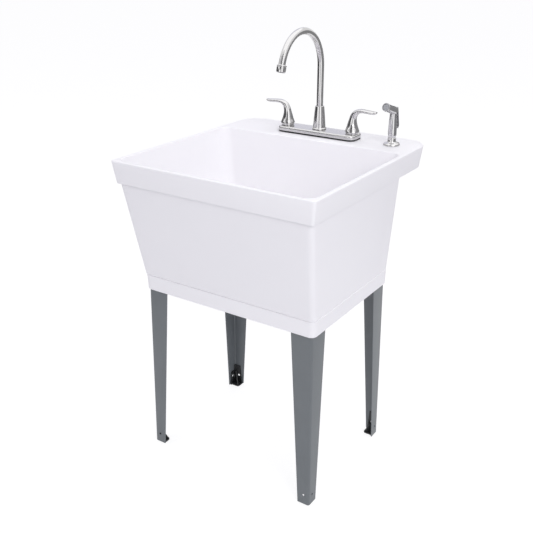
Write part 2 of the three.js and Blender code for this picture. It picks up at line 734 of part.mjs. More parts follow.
// a cup whose floor is a grid of square holes
function aeratorInsert() {
  const bottom = aeratorTop - aeratorLength + 1.5;
  const top = -outletSocket - 2 * seatGap;
  const radius = aeratorBore - seatGap;
  const floor = bottom + 2;
  let screen = revolve([
    [0, bottom], [radius, bottom], [radius, top], [radius - 2, top], [radius - 2, floor], [0, floor],
  ], 0, 0, roundSides);
  const hole = 2.8;
  const pitch = 4;
  for (const i of [-1, 0, 1]) {
    for (const j of [-1, 0, 1]) {
      screen = screen.subtract(block(i * pitch - hole / 2, i * pitch + hole / 2,
        j * pitch - hole / 2, j * pitch + hole / 2, bottom - 1, floor + 1));
    }
  }
  return atOutlet(screen);
}

// ---------------------------------------------------------------- taps

const tapRingBottom = plateTop + seatGap;
const tapRingTop = tapRingBottom + tapRingHeight;
const bellBottom = tapRingTop + 0.6;
const stemTop = bellBottom + 34;
const cartridgeTop = bellBottom + 11;

function tapRing(side) {
  return revolve([
    [valveBossRadius + seatGap, tapRingBottom], [tapRingRadius, tapRingBottom],
    [tapRingRadius, tapRingTop - tapRingRound], [tapRingRadius - tapRingRound, tapRingTop],
    [valveBossRadius + seatGap, tapRingTop],
  ], side * tapX, faucetY);
}

function cartridge(side) {
  const bottom = plateBottom + 5 + seatGap;
  const clear = stemRadius + runGap;
  const body = revolve([
    [0, bottom], [valveBoreRadius - seatGap, bottom], [valveBoreRadius - seatGap, valveBossTop + seatGap],
    [valveBossRadius - 0.5, valveBossTop + seatGap], [valveBossRadius - 0.5, valveBossTop + 4],
    [valveBoreRadius, valveBossTop + 4], [valveBoreRadius, cartridgeTop], [0, cartridgeTop],
  ], side * tapX, faucetY);
  return body.subtract(disc(clear, bottom + 8, cartridgeTop + 1, side * tapX, faucetY, 20));
}

const tapStem = (side) =>
  disc(stemRadius, plateBottom + 5 + 8 + 2 * seatGap, stemTop, side * tapX, faucetY, 20);

// a tulip-shaped bell whose neck bends over into a flat lever that points outwards
function tapHandle(side) {
  const rise = (share) => bellBottom + bellHeight * share;
  const bend = leverReach / 74;   // the lever's stations were drawn for a reach of 74
  const stations = [
    [0, rise(0), 90, bellRadius, bellRadius],
    [0, rise(0.05), 90, bellRadius - 0.9, bellRadius - 0.9],
    [0, rise(0.2), 90, bellRadius - 4.2, bellRadius - 4.2],
    [0, rise(0.37), 90, bellRadius - 7, bellRadius - 7],
    [1, rise(0.55), 88, 10.4, 10.4],
    [3.5, rise(0.71), 76, 9.3, 9.2],
    [8.5, rise(0.85), 56, 9.2, 8],
    [16, rise(0.94), 32, 9, 6.2],
    [25, rise(0.975), 14, 9, 5.6],
    [38 * bend, rise(0.978), 1, 9, 5],
    [54 * bend, rise(0.96), -3, 9, 4.8],
    [65 * bend, rise(0.952), 2, 8.4, 4.2],
    [leverReach - 3, rise(0.97), 13, 6.6, 3.2],
    [leverReach, rise(0.985), 18, 4, 1.8],
  ];
  const outside = sweep(stations);
  const skirt = revolve([
    [0, bellBottom - 1], [bellRadius - 3, bellBottom - 1], [bellRadius - 5, bellBottom + 6],
    [valveBoreRadius + 1, cartridgeTop + 2], [0, cartridgeTop + 2],
  ]);
  const socket = disc(stemRadius + seatGap, cartridgeTop, stemTop + seatGap, 0, 0, 20);
  const handle = outside.subtract(skirt).subtract(socket);
  return handle.rotate([0, 0, side < 0 ? 180 : 0]).translate([side * tapX, faucetY, 0]);
}

const fixingTop = deckUnderside - seatGap;

const mountingWasher = (x, y, shank) =>
  ring(shank + seatGap, washerRadius, fixingTop - washerThickness, fixingTop, x, y);

function mountingNut(x, y, shank) {
  const top = fixingTop - washerThickness - seatGap;
  return hexNut(nutFlats, shank + seatGap, top - nutHeight, top, x, y);
}

// ---------------------------------------------------------------- side sprayer

const holderBottom = rimHeight + seatGap;
const holderTop = holderBottom + holderHeight;

function sprayerHolder() {
  const shankEnd = rimHeight - holderShankLength;
  return revolve([
    [holderBoreRadius, shankEnd], [holderShankRadius, shankEnd], [holderShankRadius, holderBottom],
    [holderFlangeRadius, holderBottom], [holderFlangeRadius, holderBottom + 2],
    [holderFlangeRadius - 3, holderBottom + 5], [holderNeckRadius + 4, holderBottom + 7.5],
    [holderNeckRadius + 0.5, holderBottom + 10], [holderNeckRadius, holderTop - 1],
    [holderNeckRadius - 1, holderTop], [holderBoreRadius, holderTop],
  ], sprayerX, sprayerY);
}

const sprayerBase = holderTop + seatGap;
const sprayerTop = sprayerBase + sprayerBodyHeight;
const pivotY = 8.5;
const pivotZ = sprayerTop - 1.5;
const triggerHalfWidth = lugWidth / 2 + runGap + triggerCheek;

// builds in the sprayer's own frame, nose towards -Y, and moves it to the deck
const atSprayer = (body) => body.translate([sprayerX, sprayerY, 0]);

function headBar(stations) {
  const outlines = stations.map(([, radius]) => {
    const outline = [];
    for (let i = 0; i < 20; i += 1) {
      const angle = 2 * Math.PI * i / 20;
      outline.push(new THREE.Vector2(radius * Math.cos(angle), radius * Math.sin(angle)));
    }
    return outline;
  });
  const tilt = radians(sprayerHeadTilt);
  return loft(outlines, (p, level) => {
    const along = stations[level][0];
    return new THREE.Vector3(p.x, -along * Math.cos(tilt) + p.y * Math.sin(tilt),
      sprayerTop - 6 + along * Math.sin(tilt) + p.y * Math.cos(tilt));
  });
}

function sprayerBody() {
  const plug = holderBoreRadius - runGap;
  const grip = revolve([
    [0, sprayerBase - sprayerPlugLength], [plug - 1, sprayerBase - sprayerPlugLength],
    [plug, sprayerBase - sprayerPlugLength + 1.5], [plug, sprayerBase],
    [holderNeckRadius - 1.2, sprayerBase], [sprayerBodyRadius - 0.4, sprayerBase + 5],
    [sprayerBodyRadius, sprayerBase + 14], [sprayerBodyRadius - 0.8, sprayerBase + 38],
    [sprayerBodyRadius - 2.2, sprayerTop - 14], [sprayerBodyRadius - 3, sprayerTop - 4],
    [0, sprayerTop - 4],
  ]);
  const head = headBar([
    [-11, 7], [-9, 9.8], [0, 11], [16, 10], [sprayerHeadReach - 12, 9.9],
    [sprayerHeadReach - 4, sprayerNoseRadius], [sprayerHeadReach, sprayerNoseRadius],
  ]);
  // the lug at the back of the head carries the pin; the grip is cut back beside it for the cheeks
  const lug = block(-lugWidth / 2, lugWidth / 2, 0, pivotY, pivotZ - lugRadius, pivotZ + lugRadius)
    .add(crossBar(lugRadius, lugWidth, 'x', 0, pivotY, pivotZ));
  const cheekRoom = lugRadius + 1.5;
  const gripBack = sprayerBodyRadius - 2;
  const rear = gripBack + 20;
  let body = grip.add(head).subtract(plateAcross([
    [pivotY - cheekRoom, pivotZ + 4 * cheekRoom], [pivotY - cheekRoom, pivotZ - lugRadius],
    [gripBack, pivotZ - 3 * lugRadius], [gripBack, pivotZ - 6 * lugRadius], [rear, pivotZ - 6 * lugRadius],
    [rear, pivotZ + 4 * cheekRoom],
  ], 2 * sprayerBodyRadius));
  body = body.add(lug).subtract(crossBar(pinRadius + seatGap, 4 * lugWidth, 'x', 0, pivotY, pivotZ));
  const recess = headBar([[sprayerHeadReach - sprayerFaceDepth, sprayerNoseRadius - 2.2],
    [sprayerHeadReach + 2, sprayerNoseRadius - 2.2]]);
  return atSprayer(body.subtract(recess));
}

const sprayerFace = () => atSprayer(headBar([
  [sprayerHeadReach - sprayerFaceDepth + seatGap, sprayerNoseRadius - 2.2 - seatGap],
  [sprayerHeadReach - 0.8, sprayerNoseRadius - 2.2 - seatGap],
]));

const triggerPin = () => atSprayer(crossBar(pinRadius, 2 * triggerHalfWidth, 'x', 0, pivotY, pivotZ));

// a channel that straddles the lug and runs down behind the grip
function sprayerTrigger() {
  const foot = pivotZ - triggerLength;
  const reach = sprayerBodyRadius + triggerStandoff;
  const crown = lugRadius + 1;
  const back = [
    [pivotY + crown, pivotZ + 1], [reach - 8, pivotZ - 9], [reach - 3.5, foot + 24],
    [reach, foot + 9], [reach - 1.5, foot + 3], [reach - 4.5, foot],
  ];
  const inside = [
    [reach - 5.2, foot + 2.5], [reach - triggerThickness - 0.6, foot + 8],
    [reach - 3.5 - triggerThickness, foot + 24], [reach - 8 - triggerThickness, pivotZ - 9],
  ];
  const channel = [
    [pivotY - lugRadius + 1, pivotZ - lugRadius + 0.6], [pivotY - lugRadius, pivotZ], [pivotY - 2, pivotZ + crown - 1],
    [pivotY + 2, pivotZ + crown], ...back, ...inside,
  ];
  const between = lugWidth / 2 + runGap;
  const turning = pivotY + lugRadius + runGap;
  const room = block(-between, between, pivotY - 3 * lugRadius, turning, pivotZ - 3 * lugRadius, pivotZ + 3 * lugRadius);
  return atSprayer(plateAcross(channel, triggerHalfWidth).subtract(room)
    .subtract(crossBar(pinRadius + seatGap, 4 * triggerHalfWidth, 'x', 0, pivotY, pivotZ)));
}

// ---------------------------------------------------------------- assembly

const sink = new THREE.Group();
const put = (name, body, material) => sink.add(mesh(name, body, material));
const sides = [['left', -1], ['right', 1]];
const ends = [['front', -1], ['back', 1]];

put('tub', tub(), whitePlastic);
for (const [endName, sideY] of ends) {
  for (const [sideName, sideX] of sides) {
    put(`leg_${endName}_${sideName}`, leg(sideX, sideY), greyPaint);
    put(`foot_${endName}_${sideName}`, foot(sideX, sideY), blackPlastic);
  }
}

put('drain_body', drainBody(), brushedSteel);
put('drain_gasket', drainGasket(), greyRubber);
put('drain_locknut', drainLocknut(), greyPlastic);
put('drain_tailpiece', tailpiece(), whiteNylon);
put('drain_tailpiece_nut', tailpieceNut(), whiteNylon);
put('drain_stopper', drainStopper(), greyRubber);

put('plate_gasket', plateGasket(), greyRubber);
put('deck_plate', deckPlate(), brushedSteel);
put('faucet_waterway', waterway(), brass);
put('spout_bushing', spoutBushing(), whiteNylon);
put('spout_collar', spoutCollar(), brushedSteel);
put('spout_tube', spoutTube(), brushedSteel);
put('aerator_housing', aeratorHousing(), brushedSteel);
put('aerator_insert', aeratorInsert(), greyPlastic);
for (const [sideName, side] of sides) {
  put(`tap_ring_${sideName}`, tapRing(side), brushedSteel);
  put(`tap_cartridge_${sideName}`, cartridge(side), brass);
  put(`tap_stem_${sideName}`, tapStem(side), brass);
  put(`tap_handle_${sideName}`, tapHandle(side), brushedSteel);
  put(`shank_washer_${sideName}`, mountingWasher(side * tapX, faucetY, shankRadius), blackPlastic);
  put(`shank_nut_${sideName}`, mountingNut(side * tapX, faucetY, shankRadius), blackPlastic);
}

put('sprayer_holder', sprayerHolder(), brushedSteel);
put('sprayer_holder_nut', mountingNut(sprayerX, sprayerY, holderShankRadius), blackPlastic);
put('sprayer_body', sprayerBody(), brushedSteel);
put('sprayer_face', sprayerFace(), greyPlastic);
put('sprayer_trigger', sprayerTrigger(), brushedSteel);
put('sprayer_trigger_pin', triggerPin(), brushedSteel);

export default sink;
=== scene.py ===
"""Models the looks of a freestanding laundry sink with its faucet and side sprayer.

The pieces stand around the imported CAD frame.
"""

import math

import bmesh
import bpy
from mathutils import Matrix, Vector


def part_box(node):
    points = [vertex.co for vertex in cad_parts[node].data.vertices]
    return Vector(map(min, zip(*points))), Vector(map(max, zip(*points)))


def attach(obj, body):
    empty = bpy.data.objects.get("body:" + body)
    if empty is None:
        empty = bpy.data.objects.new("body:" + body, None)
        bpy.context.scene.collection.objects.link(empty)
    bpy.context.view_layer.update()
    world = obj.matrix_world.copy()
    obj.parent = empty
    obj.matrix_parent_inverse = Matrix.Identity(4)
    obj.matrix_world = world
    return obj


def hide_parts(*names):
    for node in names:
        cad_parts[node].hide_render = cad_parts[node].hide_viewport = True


bl_info = {
    "name": "Laundry Sink",
    "version": (1, 0, 0),
    "blender": (4, 5, 0),
    "location": "3D View > Sidebar > Sink",
    "description": "Models a freestanding laundry sink with a gooseneck faucet and a side sprayer",
    "category": "Add Mesh",
}

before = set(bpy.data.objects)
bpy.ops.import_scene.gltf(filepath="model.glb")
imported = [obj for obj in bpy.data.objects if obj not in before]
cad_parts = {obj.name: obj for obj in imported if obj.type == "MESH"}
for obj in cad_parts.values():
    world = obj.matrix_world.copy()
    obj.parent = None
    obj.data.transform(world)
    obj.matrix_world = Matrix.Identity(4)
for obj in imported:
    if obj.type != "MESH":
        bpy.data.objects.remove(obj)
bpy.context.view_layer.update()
MM = 0.001

# places that the solids give, in millimetres
TUB_LOW, TUB_HIGH = (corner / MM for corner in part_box("tub"))
RIM_TOP = TUB_HIGH.z
PLATE_LOW, PLATE_HIGH = (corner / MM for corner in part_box("deck_plate"))
PLATE_TOP = PLATE_HIGH.z
FAUCET_Y = (PLATE_LOW.y + PLATE_HIGH.y) / 2
TAP_X = sum(corner.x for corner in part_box("tap_stem_right")) / 2 / MM
HOLDER_LOW, HOLDER_HIGH = (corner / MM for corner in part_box("sprayer_holder"))
SPRAYER_X = (HOLDER_LOW.x + HOLDER_HIGH.x) / 2
SPRAYER_Y = (HOLDER_LOW.y + HOLDER_HIGH.y) / 2
DRAIN_Y = sum(corner.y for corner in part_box("drain_body")) / 2 / MM
SEAT = 0.3  # the gap that the solids keep between two pieces that touch
RUN = 0.35  # the gap round a piece that turns or slides

# the camera stands where the photograph's did; places of the stage are in metres
EYE, AIM = Vector((1.0390, -1.6082, 1.3429)), Vector((-0.0321, 0, 0.5175))
LENS, CLIP_END, FLOOR_HALF = 51.8, 100, 60

# name, place, size and share of the key's power
LAMPS = (
    ("lamp_key", (4.4, -3.4, 4.4), 4.0, 1.0),
    ("lamp_top", (0.1, 0.9, 3.4), 1.6, 0.08),
    ("lamp_fill", (-4.6, -4.6, 3.8), 4.0, 0.22),
)
LAMP_AIM = Vector((0, 0, 0.7))
# a narrow spot on the bowl's floor, whose light the white walls pass on to each other
SPOT_PLACE, SPOT_DEGREES, SPOT_BLEND, SPOT_SIZE, SPOT_SHARE = (0, -0.045, 3.0), 10.5, 0.6, 0.1, 0.32

# glowing cards that only glossy rays see draw the dark and bright bands in the metal: name, middle
# and width in degrees seen from the faucet, lower and upper edge, shade, strength
CARD_DISTANCE = 1.6
CARDS = (
    ("card_lens", -5, 12, 0, 1.3, "#5c5c5e", 1.0),
    ("card_bright_left", -36, 30, 0, 1.3, "#ffffff", 1.4),
    ("card_left", -84, 58, 0, 1.45, "#505052", 1.0),
    ("card_left_far", -135, 40, 0, 1.3, "#6a6a6c", 1.0),
    ("card_left_high", -66, 50, 1.6, 2.5, "#c8c8ca", 1.0),
    ("card_lens_high", -18, 36, 1.4, 2.8, "#505052", 1.0),
    ("card_right_high", 22, 40, 1.4, 2.8, "#ffffff", 1.3),
    ("card_bright_right", 24, 28, 0, 1.3, "#ffffff", 1.4),
    ("card_right", 70, 54, 0, 1.45, "#949496", 1.0),
    ("card_right_far", 120, 44, 0, 1.3, "#989899", 1.0),
    ("card_right_back", 155, 24, 0, 1.2, "#5a5a5c", 1.0),
    ("card_back", -173, 40, 1.0, 3.4, "#ececf7", 1.0),
)
# and one overhead, for the upper sides of the levers
OVER_PLACE, OVER_HALF, OVER_STRENGTH = (0, 0.6, 2.9), 1.8, 1.45


def linear(hex_colour):
    """A Blender colour from an sRGB hex value."""
    channels = [int(hex_colour[i : i + 2], 16) / 255 for i in (1, 3, 5)]
    return (*(c / 12.92 if c <= 0.04045 else ((c + 0.055) / 1.055) ** 2.4 for c in channels), 1.0)


# ---------------------------------------------------------------- meshes


def rounded_outline(half_x, front, back, front_radius, back_radius, steps=8):
    """The points of a rectangle whose four corners are bevelled round."""
    flat = bmesh.new()
    corners = [flat.verts.new((x, y, 0)) for x, y in
               ((-half_x, front), (half_x, front), (half_x, back), (-half_x, back))]
    flat.faces.new(corners)
    for pair, radius in ((corners[:2], front_radius), (corners[2:], back_radius)):
        bmesh.ops.bevel(flat, geom=pair, offset=radius, offset_type="OFFSET", segments=steps,
                        profile=0.5, affect="VERTICES", clamp_overlap=False, material=-1)
    flat.faces.ensure_lookup_table()
    points = [vert.co.xy for vert in flat.faces[0].verts]
    flat.free()
    return points


def stacked(levels):
    """A closed solid through outlines at given heights; a level is (height, points)."""
    bm = bmesh.new()
    rings = []
    for height, points in levels:
        verts = [bm.verts.new((x, y, height)) for x, y in points]
        rings.append([bm.edges.new(pair) for pair in zip(verts, verts[1:] + verts[:1])])
    for low, high in zip(rings, rings[1:]):
        bmesh.ops.bridge_loops(bm, edges=low + high)
    for ring in (rings[0], rings[-1]):
        bmesh.ops.contextual_create(bm, geom=ring)
    bmesh.ops.recalc_face_normals(bm, faces=bm.faces)
    return bm


def turned(profile, x=0.0, y=0.0, steps=64):
    """A profile of (radius, height) turned about a vertical axis; it closes there or on itself."""
    bm = bmesh.new()
    verts = [bm.verts.new((radius, 0, height)) for radius, height in profile]
    ends = list(zip(verts, verts[1:]))
    if profile[0][0] > 0:
        ends.append((verts[-1], verts[0]))
    edges = [bm.edges.new(pair) for pair in ends]
    bmesh.ops.spin(bm, geom=verts + edges, axis=(0, 0, 1), cent=(0, 0, 0), dvec=(0, 0, 0),
                   angle=math.tau, steps=steps, use_merge=True)
    bmesh.ops.remove_doubles(bm, verts=bm.verts, dist=1e-4)
    bmesh.ops.recalc_face_normals(bm, faces=bm.faces)
    bmesh.ops.translate(bm, verts=bm.verts, vec=(x, y, 0))
    return bm


def swept(stations, sides=32):
    """A solid through ovals.

    A station is (centre, direction along, width axis, half width, half thickness).
    """
    bm = bmesh.new()
    rings = []
    for centre, along, across, half_width, half_thickness in stations:
        along = Vector(along).normalized()
        across = Vector(across).normalized()
        turn = Matrix((across, along.cross(across), along)).transposed().to_4x4()
        size = Matrix.Diagonal((half_width, half_thickness, 1, 1))
        verts = bmesh.ops.create_circle(bm, segments=sides, radius=1,
                                        matrix=Matrix.Translation(centre) @ turn @ size)["verts"]
        rings.append(list({edge for vert in verts for edge in vert.link_edges}))
    for near, far in zip(rings, rings[1:]):
        bmesh.ops.bridge_loops(bm, edges=near + far)
    for ring in (rings[0], rings[-1]):
        bmesh.ops.contextual_create(bm, geom=ring)
    bmesh.ops.recalc_face_normals(bm, faces=bm.faces)
    return bm


def blocked(low, high):
    """A box between two corners."""
    bm = bmesh.new()
    size = Vector(high) - Vector(low)
    bmesh.ops.create_cube(bm, size=1, matrix=Matrix.Translation((Vector(high) + Vector(low)) / 2)
                          @ Matrix.Diagonal((*size, 1)))
    return bm


def drilled(radius, low, high, x, y, sides=48):
    """A round bar that cuts a vertical hole."""
    return turned([(0, low), (radius, low), (radius, high), (0, high)], x, y, sides)


def across_plate(points, half_width):
    """An outline of (y, z) points, extruded to both sides of the plane x = 0."""
    bm = bmesh.new()
    face = bm.faces.new([bm.verts.new((-half_width, y, z)) for y, z in points])
    made = bmesh.ops.extrude_face_region(bm, geom=[face])["geom"]
    bmesh.ops.translate(bm, verts=[v for v in made if isinstance(v, bmesh.types.BMVert)],
                        vec=(2 * half_width, 0, 0))
    bmesh.ops.recalc_face_normals(bm, faces=bm.faces)
    return bm


def eased(stations, steps):
    """Smooths a list of number rows with a spline through each of them."""
    rows = [stations[0], *stations, stations[-1]]
    out = []
    for a, b, c, d in zip(rows, rows[1:], rows[2:], rows[3:]):
        for i in range(steps):
            t = i / steps
            out.append([
                0.5 * (2 * q + (r - p) * t + (2 * p - 5 * q + 4 * r - s) * t * t
                       + (3 * q - p - 3 * r + s) * t**3)
                for p, q, r, s in zip(a, b, c, d)
            ])
    out.append(list(stations[-1]))
    return out


def copied(node):
    """A merged copy of a CAD solid, in millimetres."""
    bm = bmesh.new()
    bm.from_mesh(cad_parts[node].data)
    bmesh.ops.scale(bm, vec=(1 / MM, 1 / MM, 1 / MM), verts=bm.verts)
    bmesh.ops.remove_doubles(bm, verts=bm.verts, dist=1e-3)
    return bm


def added(name, data):
    """A new object in the scene."""
    obj = bpy.data.objects.new(name, data)
    bpy.context.scene.collection.objects.link(obj)
    return obj


def meshed(name, bm):
    """A new object whose mesh is what a bmesh holds."""
    mesh = bpy.data.meshes.new(name)
    bm.to_mesh(mesh)
    bm.free()
    return added(name, mesh)


def combined(bm, others, operation):
    """Joins solids to a solid, or cuts them from it, one by one, and gives the result back."""
    body, *tools = [meshed("scratch", solid) for solid in (bm, *others)]
    for tool in tools:
        step = body.modifiers.new("step", "BOOLEAN")
        step.operation = operation
        step.solver = "EXACT"
        step.object = tool
    bpy.context.view_layer.update()
    result = bmesh.new()
    result.from_object(body, bpy.context.evaluated_depsgraph_get())
    for obj in (body, *tools):
        mesh = obj.data
        bpy.data.objects.remove(obj)
        bpy.data.meshes.remove(mesh)
    return result


def finish(bm, name, body, slot, material, nodes, sharp=35, round_edges=0.0, segments=2):
    """Turns millimetres into metres, shades the piece, and stands it in for its solids.

    Edges sharper than sharp, in degrees, stay hard or are rounded at round_edges.
    """
    bmesh.ops.scale(bm, vec=(MM, MM, MM), verts=bm.verts)
    for face in bm.faces:
        face.smooth = True
    for edge in bm.edges:
        edge.smooth = len(edge.link_faces) == 2 and edge.calc_face_angle(0) < math.radians(sharp)
    piece = meshed(name, bm)
    piece.data.materials.append(material)
    if round_edges:
        bevel = piece.modifiers.new("edge rounds", "BEVEL")
        bevel.width = round_edges * MM
        bevel.segments = segments
        bevel.limit_method = "ANGLE"
        bevel.angle_limit = math.radians(sharp)
        bevel.harden_normals = True
        bevel.use_clamp_overlap = True
    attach(piece, body)
    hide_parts(*nodes)


def smoothed(slot, material, *nodes):
    """Stands a smoothly shaded copy with rounded edges in for each of these solids of the base."""
    for node in nodes:
        finish(copied(node), f"{node}_smooth", "base", slot, material, (node,), round_edges=0.3)


def coat(material, *nodes):
    """Gives solids that stay their finish."""
    for name in nodes:
        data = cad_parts[name].data
        data.materials.clear()
        data.materials.append(material)


# ---------------------------------------------------------------- materials


def add_node(tree, kind, settings, **links):
    """Adds a node, sets its properties and sockets, and links named sources to its inputs."""
    made = tree.nodes.new(kind)
    for key, value in settings.items():
        if key.islower():
            setattr(made, key, value)
    sockets = {socket.name: socket for socket in reversed(made.inputs) if socket.enabled}
    for key, value in settings.items():
        if not key.islower():
            sockets[key].default_value = value
    for key, source in links.items():
        tree.links.new(source, sockets[key])
    return made


def emptied(holder):
    """The node tree of a material or world, without its nodes."""
    holder.use_nodes = True
    holder.node_tree.nodes.clear()
    return holder.node_tree


def patterned(name, settings, shades, roughness, grain_mm, relief, patches=None, stretch=None):
    """A material whose shade and gloss wander between two values each, with a fine relief.

    The relief is a grain of a size in millimetres, drawn at (strength, depth in metres). Patches of
    (scale, detail) carry the wandering, or else the grain itself. Stretch scales the three axes of
    the pattern.
    """
    material = bpy.data.materials.new(name)
    tree = emptied(material)
    shader = add_node(tree, "ShaderNodeBsdfPrincipled", settings)
    add_node(tree, "ShaderNodeOutputMaterial", {}, Surface=shader.outputs["BSDF"])
    place = tree.nodes.new("ShaderNodeTexCoord").outputs["Object"]
    if stretch:
        lines = add_node(tree, "ShaderNodeMapping", {"Scale": stretch}, Vector=place)
        place = lines.outputs["Vector"]
    grain = add_node(tree, "ShaderNodeTexNoise", {"Scale": 1000 / grain_mm, "Detail": 2.0},
                     Vector=place)
    pattern = grain.outputs["Fac"]
    if patches:
        pattern = add_node(tree, "ShaderNodeTexNoise", {"Scale": patches[0], "Detail": patches[1]},
                           Vector=place).outputs["Fac"]
    tint = add_node(tree, "ShaderNodeMix", {"data_type": "RGBA", "A": shades[0], "B": shades[1]},
                    Factor=pattern)
    gloss = add_node(tree, "ShaderNodeMapRange", {"To Min": roughness[0], "To Max": roughness[1]},
                     Value=pattern)
    bump = add_node(tree, "ShaderNodeBump", {"Strength": relief[0], "Distance": relief[1]},
                    Height=grain.outputs["Fac"])
    tree.links.new(tint.outputs[2], shader.inputs["Base Color"])
    tree.links.new(gloss.outputs["Result"], shader.inputs["Roughness"])
    tree.links.new(bump.outputs["Normal"], shader.inputs["Normal"])
    return material


def moulded_polypropylene():
    """White tub plastic: injection moulded, satin, with a faint cool cast and a pebbled skin.

    The pebbles are about 0.8 mm across, a little coarser than real ones, so that they show.
    """
    settings = bpy.context.scene.sink_tub
    shades = (*settings.colour, 1), (*settings.shade, 1)
    return patterned("moulded_polypropylene", {"IOR": 1.49}, shades, roughness=(0.44, 0.54),
                     grain_mm=0.8, relief=(0.06, 0.0002), patches=(9.0, 3.0))


def powder_coated_steel():
    """Grey powder coat on pressed sheet: satin, with a fine orange peel about 1.5 mm across."""
    return patterned("powder_coated_steel", {"IOR": 1.5}, (linear("#676c6f"), linear("#72777a")),
                     roughness=(0.3, 0.42), grain_mm=1.5, relief=(0.12, 0.0002),
                     patches=(14.0, 4.0))


def speckled_plastic(name, low, high, roughness, grain_mm):
    """Moulded plastic or rubber: its shade wanders a little, and its skin has a fine grain."""
    spread = 0.06
    return patterned(name, {"IOR": 1.5}, (linear(low), linear(high)),
                     (roughness - spread, roughness + spread), grain_mm, relief=(0.2, 0.0002),
                     patches=(40.0, 4.0))


def brushed_metal(name, low, high, roughness, stretch):
    """Plated or solid metal, brushed: fine lines run along the axis whose stretch is small.

    The lines are 1.2 mm apart and many times as long, a little coarser than real ones. They soften
    the reflections without mottling them.
    """
    spread = 0.02
    return patterned(name, {"Metallic": 1.0}, (linear(low), linear(high)),
                     (roughness - spread, roughness + spread), grain_mm=1.2, relief=(0.02, 0.0001),
                     stretch=stretch)


# ---------------------------------------------------------------- settings


class SinkTubSettings(bpy.types.PropertyGroup):
    """Sizes and colours of the moulded tub."""

    colour: bpy.props.FloatVectorProperty(
        name="Colour", description="Main colour of the plastic",
        size=3, subtype="COLOR", min=0, max=1, default=linear("#faf9fb")[:3])
    shade: bpy.props.FloatVectorProperty(
        name="Shade", description="Colour that the plastic wanders to",
        size=3, subtype="COLOR", min=0, max=1, default=linear("#f8f7f9")[:3])
    edge_round: bpy.props.FloatProperty(
        name="Rim round", description="Radius of the rim's outer edge in millimetres",
        default=3.0, min=0.5, max=6.0)
    floor_round: bpy.props.FloatProperty(
        name="Floor round", description="Radius between the bowl's walls and floor in millimetres",
        default=24.0, min=5.0, max=40.0)


class SinkFaucetSettings(bpy.types.PropertyGroup):
    """Finish of the faucet's metal."""

    roughness: bpy.props.FloatProperty(
        name="Roughness", description="How blurred the metal's reflections are",
        default=0.13, min=0.05, max=0.6, subtype="FACTOR")
    tube_sides: bpy.props.IntProperty(
        name="Tube sides", description="Facets round the spout", default=48, min=16)


class SinkStageSettings(bpy.types.PropertyGroup):
    """Light levels of the stage."""

    sky: bpy.props.FloatProperty(
        name="Sky", description="Strength of the even light", default=0.64, min=0, max=2)
    key: bpy.props.FloatProperty(
        name="Key", description="Power of the main lamp", default=171.0, min=0, subtype="POWER")


# ---------------------------------------------------------------- tub


